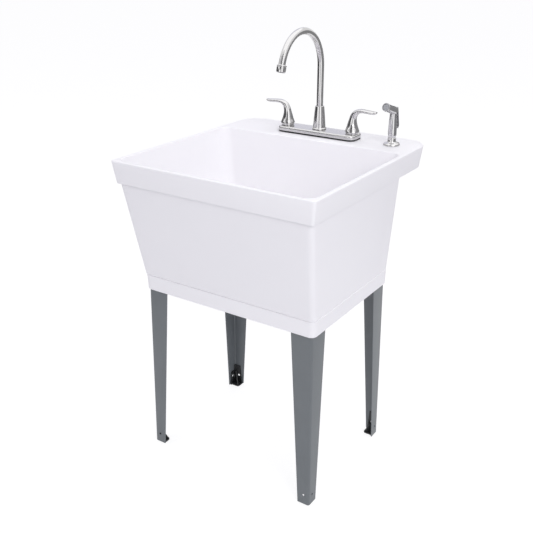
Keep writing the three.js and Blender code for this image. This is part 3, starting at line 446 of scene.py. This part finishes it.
class SINK_OT_tub(bpy.types.Operator):
    """The moulded tub: rim and apron, drafted bowl, rear deck, plinth band"""

    bl_idname = "sink.tub"
    bl_label = "Tub"

    def execute(self, context):
        settings = context.scene.sink_tub
        half, front, back = TUB_HIGH.x, TUB_LOW.y, TUB_HIGH.y
        base = TUB_LOW.z
        wall, corner_steps = 5, 10
        apron_height, apron_draft, apron_wall, apron_step = 59, 8, 4.5, 1
        front_corner, back_corner = 10, 60
        side_lip, front_lip, deck_depth, deck_thickness = 11.5, 9.5, 156, 5
        skirt = RIM_TOP - apron_height
        floor = base + 31
        underside = floor - wall
        band_top = base + 45
        edge = settings.edge_round

        # the apron, and the rounded edge of the rim
        def apron(inset):
            return rounded_outline(half - inset, front + inset, back - inset,
                                   front_corner - inset * 0.4, back_corner - inset, corner_steps)

        levels = [(skirt, apron(apron_draft + apron_step)),
                  (skirt + apron_step, apron(apron_draft - 0.1))]
        for angle in range(0, 91, 15):
            turn = math.radians(angle)
            levels.append((RIM_TOP - edge + edge * math.sin(turn),
                           apron(edge * (1 - math.cos(turn)))))
        shell = stacked(levels)

        # the drafted body down to a groove, and the plinth's band below it;
        # top, low and band are (half width, front, back)
        def body(half_x, y0, y1, radius=15):
            return rounded_outline(half_x, y0, y1, radius, radius, corner_steps)

        side_draft, front_draft, back_draft = 19, 48.5, 3
        top = (half - 12, front + 12.5, back - deck_depth + 7)
        low = (top[0] - side_draft, top[1] + front_draft, top[2] - back_draft)
        band = (low[0] - 1.5, low[1] + 4, low[2] + 2)
        band_profile = ((base, -0.8, 0.8, -0.8), (base + 0.8, 0, 0, 0), (band_top - 3.6, 1, -2, 0),
                        (band_top - 3, 0.4, -1.2, -0.3), (band_top - 2.4, -0.8, 1, -1),
                        (band_top - 0.4, -0.8, 1, -1))
        levels = [(height, body(band[0] + wider, band[1] + fore, band[2] + aft))
                  for height, wider, fore, aft in band_profile]
        into_rim = 20
        outer = stacked([*levels, (band_top, body(*low)), (skirt, body(*top)),
                         (skirt + into_rim, body(*top))])

        # the bowl's hollow, with a round where its walls meet the floor and another at its mouth
        def cavity(half_x, y0, y1, inset):
            radius = 30 - inset * 0.8
            return rounded_outline(half_x - inset, y0 + inset, y1 - inset, radius, radius,
                                   corner_steps)

        inner = (low[0] - wall, low[1] + wall, low[2] - wall)
        hollow = []
        for angle in range(0, 91, 10):
            turn = math.radians(angle)
            hollow.append((floor + settings.floor_round * (1 - math.cos(turn)),
                           cavity(*inner, settings.floor_round * (1 - math.sin(turn)))))
        mouth = (half - side_lip, front + front_lip, back - deck_depth)
        hollow.append((skirt, cavity(top[0] - wall, top[1] + wall,
                                     min(top[2] - wall, mouth[2] + 1), 0)))
        lip_round, above = 2.4, 5
        for angle in (0, 30, 60, 85):
            turn = math.radians(angle)
            spread = lip_round * (1 - math.cos(turn))
            hollow.append((RIM_TOP - lip_round + lip_round * math.sin(turn),
                           cavity(mouth[0] + spread, mouth[1] - spread, mouth[2] + spread, 0)))
        hollow.append((RIM_TOP + above,
                       cavity(mouth[0] + lip_round, mouth[1] - lip_round, mouth[2] + lip_round, 0)))

        # the hollow under the deck, from which two gussets are left standing
        def under(inset):
            return rounded_outline(half - inset, top[2], back - inset, 1, back_corner - inset,
                                   corner_steps)

        deck = RIM_TOP - deck_thickness
        rear = stacked([(skirt - 1, under(apron_draft + apron_wall)),
                        (deck, under(apron_wall + 0.4))])
        gusset_x, gusset_half, gusset_foot, gusset_end = 160, 2, 6, 11
        gusset_outline = [(top[2] - 1, skirt - 2), (top[2] + gusset_foot, skirt - 2),
                          (back - apron_wall, deck - gusset_end), (back - apron_wall, deck + 1),
                          (top[2] - 1, deck + 1)]
        gussets = []
        for x in (-gusset_x, gusset_x):
            gusset = across_plate(gusset_outline, gusset_half)
            bmesh.ops.translate(gusset, verts=gusset.verts, vec=(x, 0, 0))
            gussets.append(gusset)
        rear = combined(rear, gussets, "DIFFERENCE")

        # the hollow of the plinth, and an L of two ribs round the head of each leg
        plinth_wall = 5.5
        inside = body(band[0] - plinth_wall, band[1] + plinth_wall, band[2] - plinth_wall, 5)
        plinth = stacked([(base - 1, inside), (underside, inside)])
        rib, rib_near, rib_far, rib_drop = 3, 5, 54, 20
        out_x, out_front, out_back = band[0] - 8.5, -band[1] - 8.6, band[2] - 8.6
        ribs = []
        for side in (-1, 1):
            for end, out_y in ((-1, out_front), (1, out_back)):
                for low_x, high_x, low_y, high_y in (
                        (out_x - rib_far, out_x - rib_near, out_y - rib, out_y),
                        (out_x - rib, out_x, out_y - rib_far, out_y - rib_near)):
                    xs = sorted((side * low_x, side * high_x))
                    ys = sorted((end * low_y, end * high_y))
                    ribs.append(blocked((xs[0], ys[0], underside - rib_drop),
                                        (xs[1], ys[1], underside + 1)))

        drain_radius, deck_radius, past = 22, 15, 2
        holes = [drilled(drain_radius, underside - past, floor + past, 0, DRAIN_Y)]
        for x, y in ((-TAP_X, FAUCET_Y), (0, FAUCET_Y), (TAP_X, FAUCET_Y), (SPRAYER_X, SPRAYER_Y)):
            holes.append(drilled(deck_radius, deck - past, RIM_TOP + past, x, y))
        shell = combined(shell, [outer], "UNION")
        shell = combined(shell, [stacked(hollow), rear, plinth], "DIFFERENCE")
        shell = combined(shell, ribs, "UNION")
        shell = combined(shell, holes, "DIFFERENCE")
        finish(shell, "tub_shell", "base", "tub_plastic", moulded_polypropylene(), ("tub",),
               sharp=24)
        return {"FINISHED"}


class SINK_OT_legs(bpy.types.Operator):
    """The four pressed legs and their boots"""

    bl_idname = "sink.legs"
    bl_label = "Legs and feet"

    def execute(self, context):
        paint = powder_coated_steel()
        nylon = speckled_plastic("moulded_nylon", "#1b1c1e", "#242629", 0.5, 0.9)
        hole_height, hole_inset, hole_radius, before, depth, flare = 28, 16.5, 3.5, 4, 7, 0.8
        widened = [(0, -before), (hole_radius, -before), (hole_radius, 0),
                   (hole_radius + flare * depth, depth), (0, depth)]
        rounds = {"sharp": 50, "round_edges": 0.4}
        for end, out_y in (("front", -1), ("back", 1)):
            for side, out_x in (("left", -1), ("right", 1)):
                name = f"{end}_{side}"
                leg, foot = f"leg_{name}", f"foot_{name}"
                finish(copied(leg), f"leg_pressed_{name}", "base", "leg_paint", paint, (leg,),
                       **rounds)
                # the holes widen through the boot, so that the floor shows through them
                low, high = (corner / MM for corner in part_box(leg))
                x, y = (high.x if out_x > 0 else low.x), (high.y if out_y > 0 else low.y)
                cones = []
                for place, inward in (((x - out_x * hole_inset, y, hole_height), (0, -out_y, 0)),
                                      ((x, y - out_y * hole_inset, hole_height), (-out_x, 0, 0))):
                    cone = turned(widened, steps=24)
                    turn = Vector((0, 0, 1)).rotation_difference(Vector(inward)).to_matrix()
                    bmesh.ops.rotate(cone, verts=cone.verts, cent=(0, 0, 0), matrix=turn)
                    bmesh.ops.translate(cone, verts=cone.verts, vec=place)
                    cones.append(cone)
                boot = combined(copied(foot), cones, "DIFFERENCE")
                finish(boot, f"boot_{name}", "base", "foot_plastic", nylon, (foot,), **rounds)
        return {"FINISHED"}


class SINK_OT_drain(bpy.types.Operator):
    """The drain, its stopper and the pieces below the bowl"""

    bl_idname = "sink.drain"
    bl_label = "Drain"

    def execute(self, context):
        steel = brushed_metal("pressed_stainless", "#b9babc", "#cbccce", 0.28, (1, 1, 1))
        rubber = speckled_plastic("moulded_rubber", "#1a1a1c", "#242427", 0.7, 0.6)
        pipe = speckled_plastic("extruded_pvc", "#dcdcd6", "#e6e6e0", 0.4, 0.9)
        grey = speckled_plastic("moulded_acetal", "#83868a", "#8f9296", 0.45, 0.7)
        low, top = (corner.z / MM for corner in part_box("drain_body"))
        bore, thread, flange, thickness, recess = 18.5, 21, 36, 3, 4
        bar_width, bar_depth, bar_rise, steps = 4, 6, 6, 96
        seat = top - thickness
        body = turned([(bore, low), (thread, low), (thread, seat), (flange, seat),
                       (flange, seat + 1), (flange - 0.6, top - 0.7), (flange - 2.2, top),
                       (bore + 5.5, top), (bore + 3.8, top - 0.5), (bore + 1, top - 2.6),
                       (bore, top - recess)], 0, DRAIN_Y, steps)
        bar_top = low + bar_depth + bar_rise
        bars = [blocked((-x, DRAIN_Y - y, bar_top - bar_depth), (x, DRAIN_Y + y, bar_top))
                for x, y in ((bore + 1, bar_width / 2), (bar_width / 2, bore + 1))]
        body = combined(body, bars, "UNION")
        finish(body, "drain_body_pressed", "base", "drain_steel", steel, ("drain_body",),
               round_edges=0.3)

        # the stopper: a plug in the bore, a rim on the flange and a knob in the middle
        rest = top + SEAT
        base = rest - 9
        knob = eased([(12, rest + 3.4), (6, rest + 4), (4, rest + 7), (4.4, rest + 10),
                      (7, rest + 12.4), (6.4, rest + 15), (3, rest + 15.9)], 4)
        stopper = turned([(0, base), (bore - 2, base), (bore - RUN, rest - 5), (bore - RUN, rest),
                          (bore + 5, rest), (bore + 4.6, rest + 2), (bore + 3.4, rest + 3), *knob,
                          (0, rest + 16)], 0, DRAIN_Y, steps)
        finish(stopper, "stopper_moulded", "stopper", "stopper_rubber", rubber, ("drain_stopper",),
               round_edges=0.3)
        smoothed("rubber_seal", rubber, "drain_gasket")
        smoothed("white_plastic", pipe, "drain_tailpiece", "drain_tailpiece_nut")
        smoothed("grey_plastic", grey, "drain_locknut")
        return {"FINISHED"}


# ---------------------------------------------------------------- faucet


NICKEL = ("#cccbcb", "#d4d3d4")


def faucet_metal():
    """The faucet's finish: brushed nickel plate, its lines upright."""
    roughness = bpy.context.scene.sink_faucet.roughness
    return (bpy.data.materials.get("brushed_nickel")
            or brushed_metal("brushed_nickel", *NICKEL, roughness, (1, 1, 0.05)))


class SINK_OT_deck_plate(bpy.types.Operator):
    """The plate over the faucet's body, and what lies under it"""

    bl_idname = "sink.deck_plate"
    bl_label = "Deck plate"

    def execute(self, context):
        half, front, back = PLATE_HIGH.x, PLATE_LOW.y, PLATE_HIGH.y
        bevel, wall, corner, foot_round = 5.5, 2, 17, 0.3
        # the foot stands higher than the solid's, baring more of the black gasket: a dark line that
        # is partly gasket and partly painted shade for the contact shadow under the plate's edge
        gasket_and_shadow_lift = 1.2
        foot = PLATE_LOW.z + gasket_and_shadow_lift

        def outline(inset):
            radius = corner - inset * 0.6
            return rounded_outline(half - inset, front + inset, back - inset, radius, radius)

        levels = [(foot, outline(foot_round)), (foot + foot_round, outline(0))]
        for angle in range(0, 91, 15):
            turn = math.radians(angle)
            levels.append((PLATE_TOP - bevel * (1 - math.sin(turn)),
                           outline(bevel * (1 - math.cos(turn)))))
        hollow = stacked([(PLATE_LOW.z - 1, outline(wall)), (PLATE_TOP - bevel, outline(wall)),
                          (PLATE_TOP - wall, outline(wall + bevel))])
        tap_neck, spout_neck, below = 12, 13, 5
        holes = [drilled(radius + SEAT, PLATE_TOP - below, PLATE_TOP + 1, x, FAUCET_Y)
                 for x, radius in ((-TAP_X, tap_neck), (0, spout_neck), (TAP_X, tap_neck))]
        plate = combined(stacked(levels), [hollow, *holes], "DIFFERENCE")
        metal = brushed_metal("brushed_nickel_plate", *NICKEL, 0.22, (0.05, 1, 1))
        finish(plate, "faucet_plate", "base", "plate_steel", metal, ("deck_plate",), sharp=30)

        # a rubber frame under the plate's edge, reaching up to the raised foot, so that its dark
        # band is partly painted shade
        overlap, width = 0.5, 6
        low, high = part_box("plate_gasket")[0].z / MM, foot - SEAT
        seal = stacked([(low, outline(overlap)), (high, outline(overlap))])
        opening = stacked([(low - 1, outline(width)), (high + 1, outline(width))])
        finish(combined(seal, [opening], "DIFFERENCE"), "plate_gasket_cut", "base", "rubber_seal",
               bpy.data.materials["moulded_rubber"], ("plate_gasket",), round_edges=0.3)

        brass = brushed_metal("cast_brass", "#a98e52", "#bda266", 0.42, (1, 1, 1))
        black = speckled_plastic("glass_filled_nylon", "#1c1c1e", "#262628", 0.55, 0.8)
        pale = speckled_plastic("acetal_bushing", "#dadad4", "#e4e4de", 0.4, 0.8)
        smoothed("black_plastic", black, "shank_washer_left", "shank_washer_right",
                 "shank_nut_left", "shank_nut_right", "sprayer_holder_nut")
        coat(brass, "faucet_waterway", "tap_cartridge_left", "tap_cartridge_right", "tap_stem_left",
             "tap_stem_right")
        coat(pale, "spout_bushing")
        return {"FINISHED"}


class SINK_OT_spout(bpy.types.Operator):
    """Collar, gooseneck tube and aerator"""

    bl_idname = "sink.spout"
    bl_label = "Spout"

    def execute(self, context):
        metal = faucet_metal()
        tube, hub = 8.9, 13

        # the collar: a flared foot that narrows to the tube, hollow over the hub
        foot = PLATE_TOP + SEAT
        top, ledge = foot + 63, PLATE_TOP + 34 + SEAT
        base_radius, neck, rings, curve = 19.5, 12.3, 12, 0.85
        profile = [(hub + SEAT, foot), (base_radius, foot), (base_radius, foot + 2.5),
                   (base_radius - 2, foot + 4.5)]
        flare = base_radius - 2.2 - neck
        for step in range(1, rings + 1):
            share = step / rings
            profile.append((neck + flare * (1 - share) ** curve, foot + 5 + 56 * share))
        profile += [(neck, top - 0.8), (neck - 1, top), (tube + RUN, top), (tube + RUN, ledge),
                    (hub + SEAT, ledge)]
        finish(turned(profile, 0, FAUCET_Y), "spout_collar_turned", "base", "faucet_metal", metal,
               ("spout_collar",), round_edges=0.5)

        # the gooseneck: straight up, round the bend, and a little further into the aerator
        bend, bend_degrees, bend_steps, socket = 98, 162.5, 60, 8
        start = PLATE_TOP + 169.5
        path = [((0, FAUCET_Y, PLATE_TOP + 10), (0, 0, 1)), ((0, FAUCET_Y, start - 60), (0, 0, 1))]
        for i in range(bend_steps + 1):
            turn = math.radians(bend_degrees * i / bend_steps)
            path.append(((0, FAUCET_Y - bend * (1 - math.cos(turn)), start + bend * math.sin(turn)),
                         (0, -math.sin(turn), math.cos(turn))))
        centre, along = Vector(path[-1][0]), Vector(path[-1][1])
        path.append((centre + socket * along, along))
        stations = [(point, heading, (1, 0, 0), tube, tube) for point, heading in path]
        finish(swept(stations, context.scene.sink_faucet.tube_sides), "gooseneck_tube", "spout",
               "faucet_metal", metal, ("spout_tube",), round_edges=0.4)

        # the aerator is turned about the vertical, tipped to the outlet's angle and moved there
        tip = Matrix.Translation(centre)
        tip = tip @ Matrix.Rotation(-math.radians(180 - bend_degrees), 4, "X")
        radius, length, bore, cap = 12.5, 18, 9.6, -4
        low = cap - length
        housing = turned([
            (bore, low), (radius - 1.8, low), (radius - 1.2, low + 1), (radius - 0.6, low + 4),
            (radius - 0.4, cap - 5.4), (radius - 1.3, cap - 5), (radius - 1.3, cap - 4),
            (radius, cap - 3.6), (radius, cap - 2), (radius - 0.6, cap - 0.8), (radius - 1.8, cap),
            (tube + SEAT, cap), (tube + SEAT, -socket - SEAT), (bore, -socket - SEAT)])
        bmesh.ops.transform(housing, matrix=tip, verts=housing.verts)
        finish(housing, "aerator_shell", "spout", "faucet_metal", metal, ("aerator_housing",),
               round_edges=0.2)
        coat(speckled_plastic("aerator_screen", "#77797c", "#8a8c8f", 0.4, 0.6), "aerator_insert")
        return {"FINISHED"}


class SINK_OT_taps(bpy.types.Operator):
    """Two tulip-shaped lever handles on their rings"""

    bl_idname = "sink.taps"
    bl_label = "Taps"

    def execute(self, context):
        metal = faucet_metal()
        ring_low = PLATE_TOP + SEAT
        ring_high, ring_bore, ring_radius = ring_low + 5.5, 12.3, 17.2
        bell = ring_high + 0.6
        height, bell_radius = 58, 19.8
        # from the bell to the blade's tip: distance outwards, share of the height, heading in
        # degrees above the level, half width, half thickness
        rows = [(0, 0, 90, 19.8, 19.8), (0, 0.05, 90, 18.9, 18.9), (0, 0.2, 90, 15.6, 15.6),
                (0, 0.37, 90, 12.8, 12.8), (1, 0.55, 88, 10.4, 10.4), (3.5, 0.71, 76, 9.3, 9.2),
                (8.5, 0.85, 56, 9.2, 8), (16, 0.94, 32, 9, 6.2), (25, 0.975, 14, 9, 5.6),
                (36, 0.978, 1, 9, 5), (51.1, 0.96, -3, 9, 4.8), (61.5, 0.952, 2, 8.4, 4.2),
                (67, 0.97, 13, 6.6, 3.2), (70, 0.985, 18, 4, 1.8)]
        stem, stem_low, stem_high = 4.8, bell + 11, bell + 34.3
        for name, side in (("left", -1), ("right", 1)):
            x = side * TAP_X
            ring = turned([(ring_bore, ring_low), (ring_radius, ring_low),
                           (ring_radius, ring_high - 1), (ring_radius - 1, ring_high),
                           (ring_bore, ring_high)], x, FAUCET_Y)
            finish(ring, f"tap_ring_turned_{name}", "base", "faucet_metal", metal,
                   (f"tap_ring_{name}",), round_edges=0.3)
            stations = []
            for along, share, heading, half_width, half_thickness in eased(rows, 4):
                turn = math.radians(heading)
                stations.append(((x + side * along, FAUCET_Y, bell + height * share),
                                 (side * math.cos(turn), 0, math.sin(turn)), (0, 1, 0),
                                 half_width, half_thickness))
            # hollowed over the cartridge, and bored for the stem
            skirt = turned([(0, bell - 1), (bell_radius - 3, bell - 1), (bell_radius - 5, bell + 6),
                            (10, bell + 13), (0, bell + 13)], x, FAUCET_Y)
            socket = drilled(stem, stem_low, stem_high, x, FAUCET_Y, 24)
            handle = combined(swept(stations, 40), [skirt, socket], "DIFFERENCE")
            finish(handle, f"tap_lever_{name}", f"tap_{name}", "faucet_metal", metal,
                   (f"tap_handle_{name}",), sharp=40)
        return {"FINISHED"}


class SINK_OT_sprayer(bpy.types.Operator):
    """The side sprayer, its trigger and the holder it stands in"""

    bl_idname = "sink.sprayer"
    bl_label = "Side sprayer"

    def execute(self, context):
        low, top = HOLDER_LOW.z, HOLDER_HIGH.z
        seat = RIM_TOP + SEAT
        flange, neck, bore, shank = 21.9, 11, 9, 14
        holder = turned([
            (bore, low), (shank, low), (shank, seat), (flange, seat), (flange, seat + 2.4),
            (flange - 0.8, seat + 4.2), (flange - 2.6, seat + 5.8), (flange - 5.4, seat + 7),
            (neck + 3, seat + 7.9), (neck + 1, seat + 9), (neck, seat + 11), (neck, top - 1),
            (neck - 1, top), (bore, top)], SPRAYER_X, SPRAYER_Y)
        finish(holder, "sprayer_holder_turned", "base", "faucet_metal", faucet_metal(),
               ("sprayer_holder",), round_edges=0.3)

        # drawn with the grip's axis at x = y = 0 and the nose to the front, then moved to the deck
        spot = Matrix.Translation((SPRAYER_X, SPRAYER_Y, 0))
        shell = brushed_metal("plated_abs", "#c8c8ca", "#d0cfd1", 0.14, (1, 1, 0.12))
        foot, height, plug, plug_length = top + SEAT, 76, bore - RUN, 46
        plug_end, crown = foot - plug_length, foot + height
        grip_rows = [(9.8, foot), (10.9, foot + 5), (11.3, foot + 14), (10.5, foot + 38),
                     (9.1, crown - 14), (8.3, crown - 4)]
        grip = turned([(0, plug_end), (plug - 1, plug_end), (plug, plug_end + 1.5), (plug, foot),
                       *eased(grip_rows, 5), (0, crown - 4)])

        # the head: a tapered bar through the top of the grip, tilted up
        tilt, reach, nose, recess, rim = math.radians(19), 50.5, 10.8, 5, 2.2
        ahead = Vector((0, -math.cos(tilt), math.sin(tilt)))
        middle = Vector((0, 0, crown - 6))

        def head_bar(rows):
            return swept([(middle + ahead * along, ahead, (1, 0, 0), radius, radius)
                          for along, radius in rows], 48)

        head_rows = [(-12.2, 1.2), (-11.6, 4), (-9.6, 8), (-6, 10), (0, 11), (16, 10),
                     (reach - 12, 9.8), (reach - 7, 10.4), (reach - 4, nose)]
        head = head_bar([*eased(head_rows, 4), (reach - 0.8, nose), (reach, nose - 0.7)])
        cup = head_bar([(reach - recess, nose - rim), (reach + 2, nose - rim)])

        # the room behind the grip for the trigger, and the lug that carries its pin
        pivot_y, pivot_z, lug, lug_half, pin = 8.5, crown - 1.5, 3.6, 5, 1.5
        room, grip_back, far_back, room_half = lug + 1.5, 9.3, 29.3, 25
        behind = across_plate([
            (pivot_y - room, pivot_z + 4 * room), (pivot_y - room, pivot_z - lug),
            (grip_back, pivot_z - 3 * lug), (grip_back, pivot_z - 6 * lug),
            (far_back, pivot_z - 6 * lug), (far_back, pivot_z + 4 * room)], room_half)
        round_end = [(pivot_y + lug * math.sin(turn), pivot_z + lug * math.cos(turn))
                     for turn in map(math.radians, range(0, 181, 15))]
        lug_plate = across_plate([(0, pivot_z + lug), *round_end, (0, pivot_z - lug)], lug_half)

        def pin_hole(half_length):
            bar = drilled(pin + SEAT, -half_length, half_length, 0, 0, 24)
            bmesh.ops.rotate(bar, verts=bar.verts, matrix=Matrix.Rotation(math.pi / 2, 3, "Y"))
            bmesh.ops.translate(bar, verts=bar.verts, vec=(0, pivot_y, pivot_z))
            return bar

        body = combined(grip, [head], "UNION")
        body = combined(body, [behind], "DIFFERENCE")
        body = combined(body, [lug_plate], "UNION")
        body = combined(body, [pin_hole(20), cup], "DIFFERENCE")
        bmesh.ops.transform(body, matrix=spot, verts=body.verts)
        finish(body, "sprayer_shell", "sprayer", "sprayer_shell", shell, ("sprayer_body",),
               round_edges=0.5)

        # the spray face: a domed disc with a ring groove and two rings of nozzle holes
        radius = nose - rim - SEAT
        back, front = reach - recess + SEAT, reach - 0.8
        face = turned([(0, back), (radius, back), (radius, front - 0.9),
                       (radius - 0.7, front - 0.3), (radius - 1.6, front - 0.3),
                       (radius - 1.9, front - 0.8), (radius - 2.3, front - 0.8),
                       (radius - 2.6, front - 0.2), (0, front)])
        nozzle, holes = 0.55, []
        for ring, count in ((4.3, 9), (2.2, 5)):
            for turn in (math.tau * i / count for i in range(count)):
                holes.append(drilled(nozzle, front - 2, front + 1,
                                     ring * math.cos(turn), ring * math.sin(turn), 10))
        face = combined(face, holes, "DIFFERENCE")
        across = Vector((1, 0, 0))
        aim = Matrix((across, ahead.cross(across), ahead)).transposed().to_4x4()
        bmesh.ops.transform(face, matrix=spot @ Matrix.Translation(middle) @ aim, verts=face.verts)
        pale_grey = speckled_plastic("moulded_acetal_face", "#a5a7aa", "#b4b6b9", 0.42, 0.6)
        finish(face, "spray_face", "sprayer", "grey_plastic", pale_grey, ("sprayer_face",))

        # the trigger: a channel that straddles the lug and runs down behind the grip
        depth, length, thickness, cheek = 23.6, 53.5, 2.6, 2
        end = pivot_z - length
        outside = eased([
            (pivot_y - 3.6, pivot_z - 1), (pivot_y - 2.8, pivot_z + 2.8),
            (pivot_y + 0.6, pivot_z + 4.3), (pivot_y + 3.9, pivot_z + 1),
            (pivot_y + 5, pivot_z - 3), (depth - 8, pivot_z - 9), (depth - 3.5, end + 24),
            (depth, end + 9), (depth - 1.5, end + 3), (depth - 4.5, end)], 4)
        inside = eased([
            (depth - 5.2, end + 2.5), (depth - thickness - 0.6, end + 8),
            (depth - 3.5 - thickness, end + 24), (depth - 8 - thickness, pivot_z - 9)], 4)
        half = lug_half + RUN + cheek
        trigger = across_plate([*outside, *inside, (pivot_y - 2.6, pivot_z - 3)], half)
        slot = blocked((-lug_half - RUN, pivot_y - 3 * lug, pivot_z - 3 * lug),
                       (lug_half + RUN, pivot_y + lug + RUN, pivot_z + 3 * lug))
        trigger = combined(trigger, [slot, pin_hole(40)], "DIFFERENCE")
        bmesh.ops.transform(trigger, matrix=spot, verts=trigger.verts)
        finish(trigger, "spray_trigger", "trigger", "sprayer_shell", shell, ("sprayer_trigger",),
               round_edges=1.1, segments=3)
        coat(bpy.data.materials["pressed_stainless"], "sprayer_trigger_pin")
        return {"FINISHED"}


# ---------------------------------------------------------------- stage


def shown_background(tree, object_shader, seen_shader):
    """Mixes the shader that lights the object with the one that the lens and mirrors look at."""
    rays = tree.nodes.new("ShaderNodeLightPath")
    seen = rays.outputs["Is Camera Ray"]
    for kind in ("Is Glossy Ray", "Is Transmission Ray"):
        either = tree.nodes.new("ShaderNodeMath")
        either.operation = "MAXIMUM"
        tree.links.new(seen, either.inputs[0])
        tree.links.new(rays.outputs[kind], either.inputs[1])
        seen = either.outputs[0]
    mixed = tree.nodes.new("ShaderNodeMixShader")
    for socket, source in zip(mixed.inputs, (seen, object_shader, seen_shader)):
        tree.links.new(source, socket)
    return mixed.outputs[0]


def stage_plane(name, material, matrix):
    """A flat piece of the stage: a square two metres across, placed by a matrix."""
    bm = bmesh.new()
    bmesh.ops.create_grid(bm, x_segments=1, y_segments=1, size=1, matrix=matrix)
    plane = meshed(name, bm)
    plane.data.materials.append(material)
    return plane


def reflected_card(name, shade, strength, matrix):
    """A glowing plane that only glossy rays see."""
    material = bpy.data.materials.new(name)
    tree = emptied(material)
    glow = add_node(tree, "ShaderNodeEmission", {"Color": linear(shade), "Strength": strength})
    add_node(tree, "ShaderNodeOutputMaterial", {}, Surface=glow.outputs[0])
    card = stage_plane(name, material, matrix)
    card.visible_camera = False
    card.visible_diffuse = False
    card.visible_shadow = False
    card.visible_transmission = False


class SINK_OT_stage(bpy.types.Operator):
    """Camera, lamps, pale floor and the grey cards that metal reflects"""

    bl_idname = "sink.stage"
    bl_label = "Stage"

    def execute(self, context):
        scene = context.scene
        settings = scene.sink_stage
        scene.view_settings.view_transform = "Standard"
        data = bpy.data.cameras.new("camera")
        data.lens = LENS
        data.clip_end = CLIP_END
        camera = added("camera", data)
        camera.location = EYE
        camera.rotation_euler = (AIM - EYE).to_track_quat("-Z", "Y").to_euler()
        scene.camera = camera

        world = bpy.data.worlds.new("studio")
        scene.world = world
        tree = emptied(world)
        even = add_node(tree, "ShaderNodeBackground",
                        {"Color": linear("#f8f7ff"), "Strength": settings.sky})
        white = add_node(tree, "ShaderNodeBackground", {"Color": (1, 1, 1, 1), "Strength": 1.0})
        add_node(tree, "ShaderNodeOutputWorld", {},
                 Surface=shown_background(tree, even.outputs[0], white.outputs[0]))

        floor_white = bpy.data.materials.new("floor_white")
        tree = emptied(floor_white)
        bounce = add_node(tree, "ShaderNodeBsdfDiffuse", {"Color": linear("#dcdcde")})
        # what the lens sees: mostly its own white, with enough diffuse light to keep the shadow
        grey, own_white = 0.3, 0.8
        shadow = add_node(tree, "ShaderNodeBsdfDiffuse", {"Color": (grey, grey, grey, 1)})
        glow = add_node(tree, "ShaderNodeEmission", {"Color": (1, 1, 1, 1), "Strength": own_white})
        both = tree.nodes.new("ShaderNodeAddShader")
        tree.links.new(shadow.outputs[0], both.inputs[0])
        tree.links.new(glow.outputs[0], both.inputs[1])
        add_node(tree, "ShaderNodeOutputMaterial", {},
                 Surface=shown_background(tree, bounce.outputs[0], both.outputs[0]))
        stage_plane("floor", floor_white, Matrix.Scale(FLOOR_HALF, 4))

        for name, place, size, share in LAMPS:
            light = bpy.data.lights.new(name, "AREA")
            light.shape = "SQUARE"
            light.size = size
            light.energy = settings.key * share
            lamp = added(name, light)
            lamp.location = place
            lamp.rotation_euler = (LAMP_AIM - Vector(place)).to_track_quat("-Z", "Y").to_euler()
        light = bpy.data.lights.new("lamp_bowl", "SPOT")
        light.energy = settings.key * SPOT_SHARE
        light.spot_size = math.radians(SPOT_DEGREES)
        light.spot_blend = SPOT_BLEND
        light.shadow_soft_size = SPOT_SIZE
        lamp = added("lamp_bowl", light)
        lamp.location = SPOT_PLACE
        lamp.visible_glossy = False

        heading = math.atan2(EYE.x, -EYE.y)
        for name, middle, width, low, high, shade, strength in CARDS:
            turn = heading + math.radians(middle)
            half = CARD_DISTANCE * math.tan(math.radians(width / 2))
            place = (CARD_DISTANCE * math.sin(turn), -CARD_DISTANCE * math.cos(turn),
                     (low + high) / 2)
            reflected_card(name, shade, strength,
                           Matrix.Translation(place) @ Matrix.Rotation(turn, 4, "Z")
                           @ Matrix.Rotation(math.pi / 2, 4, "X")
                           @ Matrix.Diagonal((half, (high - low) / 2, 1, 1)))
        reflected_card("card_over", "#ffffff", OVER_STRENGTH,
                       Matrix.Translation(OVER_PLACE) @ Matrix.Scale(OVER_HALF, 4))
        return {"FINISHED"}


# ---------------------------------------------------------------- add-on


OPERATORS = (SINK_OT_stage, SINK_OT_tub, SINK_OT_legs, SINK_OT_drain, SINK_OT_deck_plate,
             SINK_OT_spout, SINK_OT_taps, SINK_OT_sprayer)
SETTINGS = (("sink_tub", SinkTubSettings), ("sink_faucet", SinkFaucetSettings),
            ("sink_stage", SinkStageSettings))


class SINK_PT_panel(bpy.types.Panel):
    """Lists the pieces of the sink and their settings"""

    bl_idname = "SINK_PT_panel"
    bl_label = "Laundry Sink"
    bl_space_type = "VIEW_3D"
    bl_region_type = "UI"
    bl_category = "Sink"

    def draw(self, context):
        for name, group in SETTINGS:
            for key in group.__annotations__:
                self.layout.prop(getattr(context.scene, name), key)
        for operator in OPERATORS:
            self.layout.operator(operator.bl_idname)


def register():
    for name, group in SETTINGS:
        bpy.utils.register_class(group)
        setattr(bpy.types.Scene, name, bpy.props.PointerProperty(type=group))
    for made in (*OPERATORS, SINK_PT_panel):
        bpy.utils.register_class(made)


def unregister():
    for made in reversed((*OPERATORS, SINK_PT_panel)):
        bpy.utils.unregister_class(made)
    for name, group in reversed(SETTINGS):
        delattr(bpy.types.Scene, name)
        bpy.utils.unregister_class(group)


def main():
    """Makes every piece in order."""
    register()
    for operator in OPERATORS:
        family, name = operator.bl_idname.split(".")
        getattr(getattr(bpy.ops, family), name)()


if __name__ == "__main__":
    main()
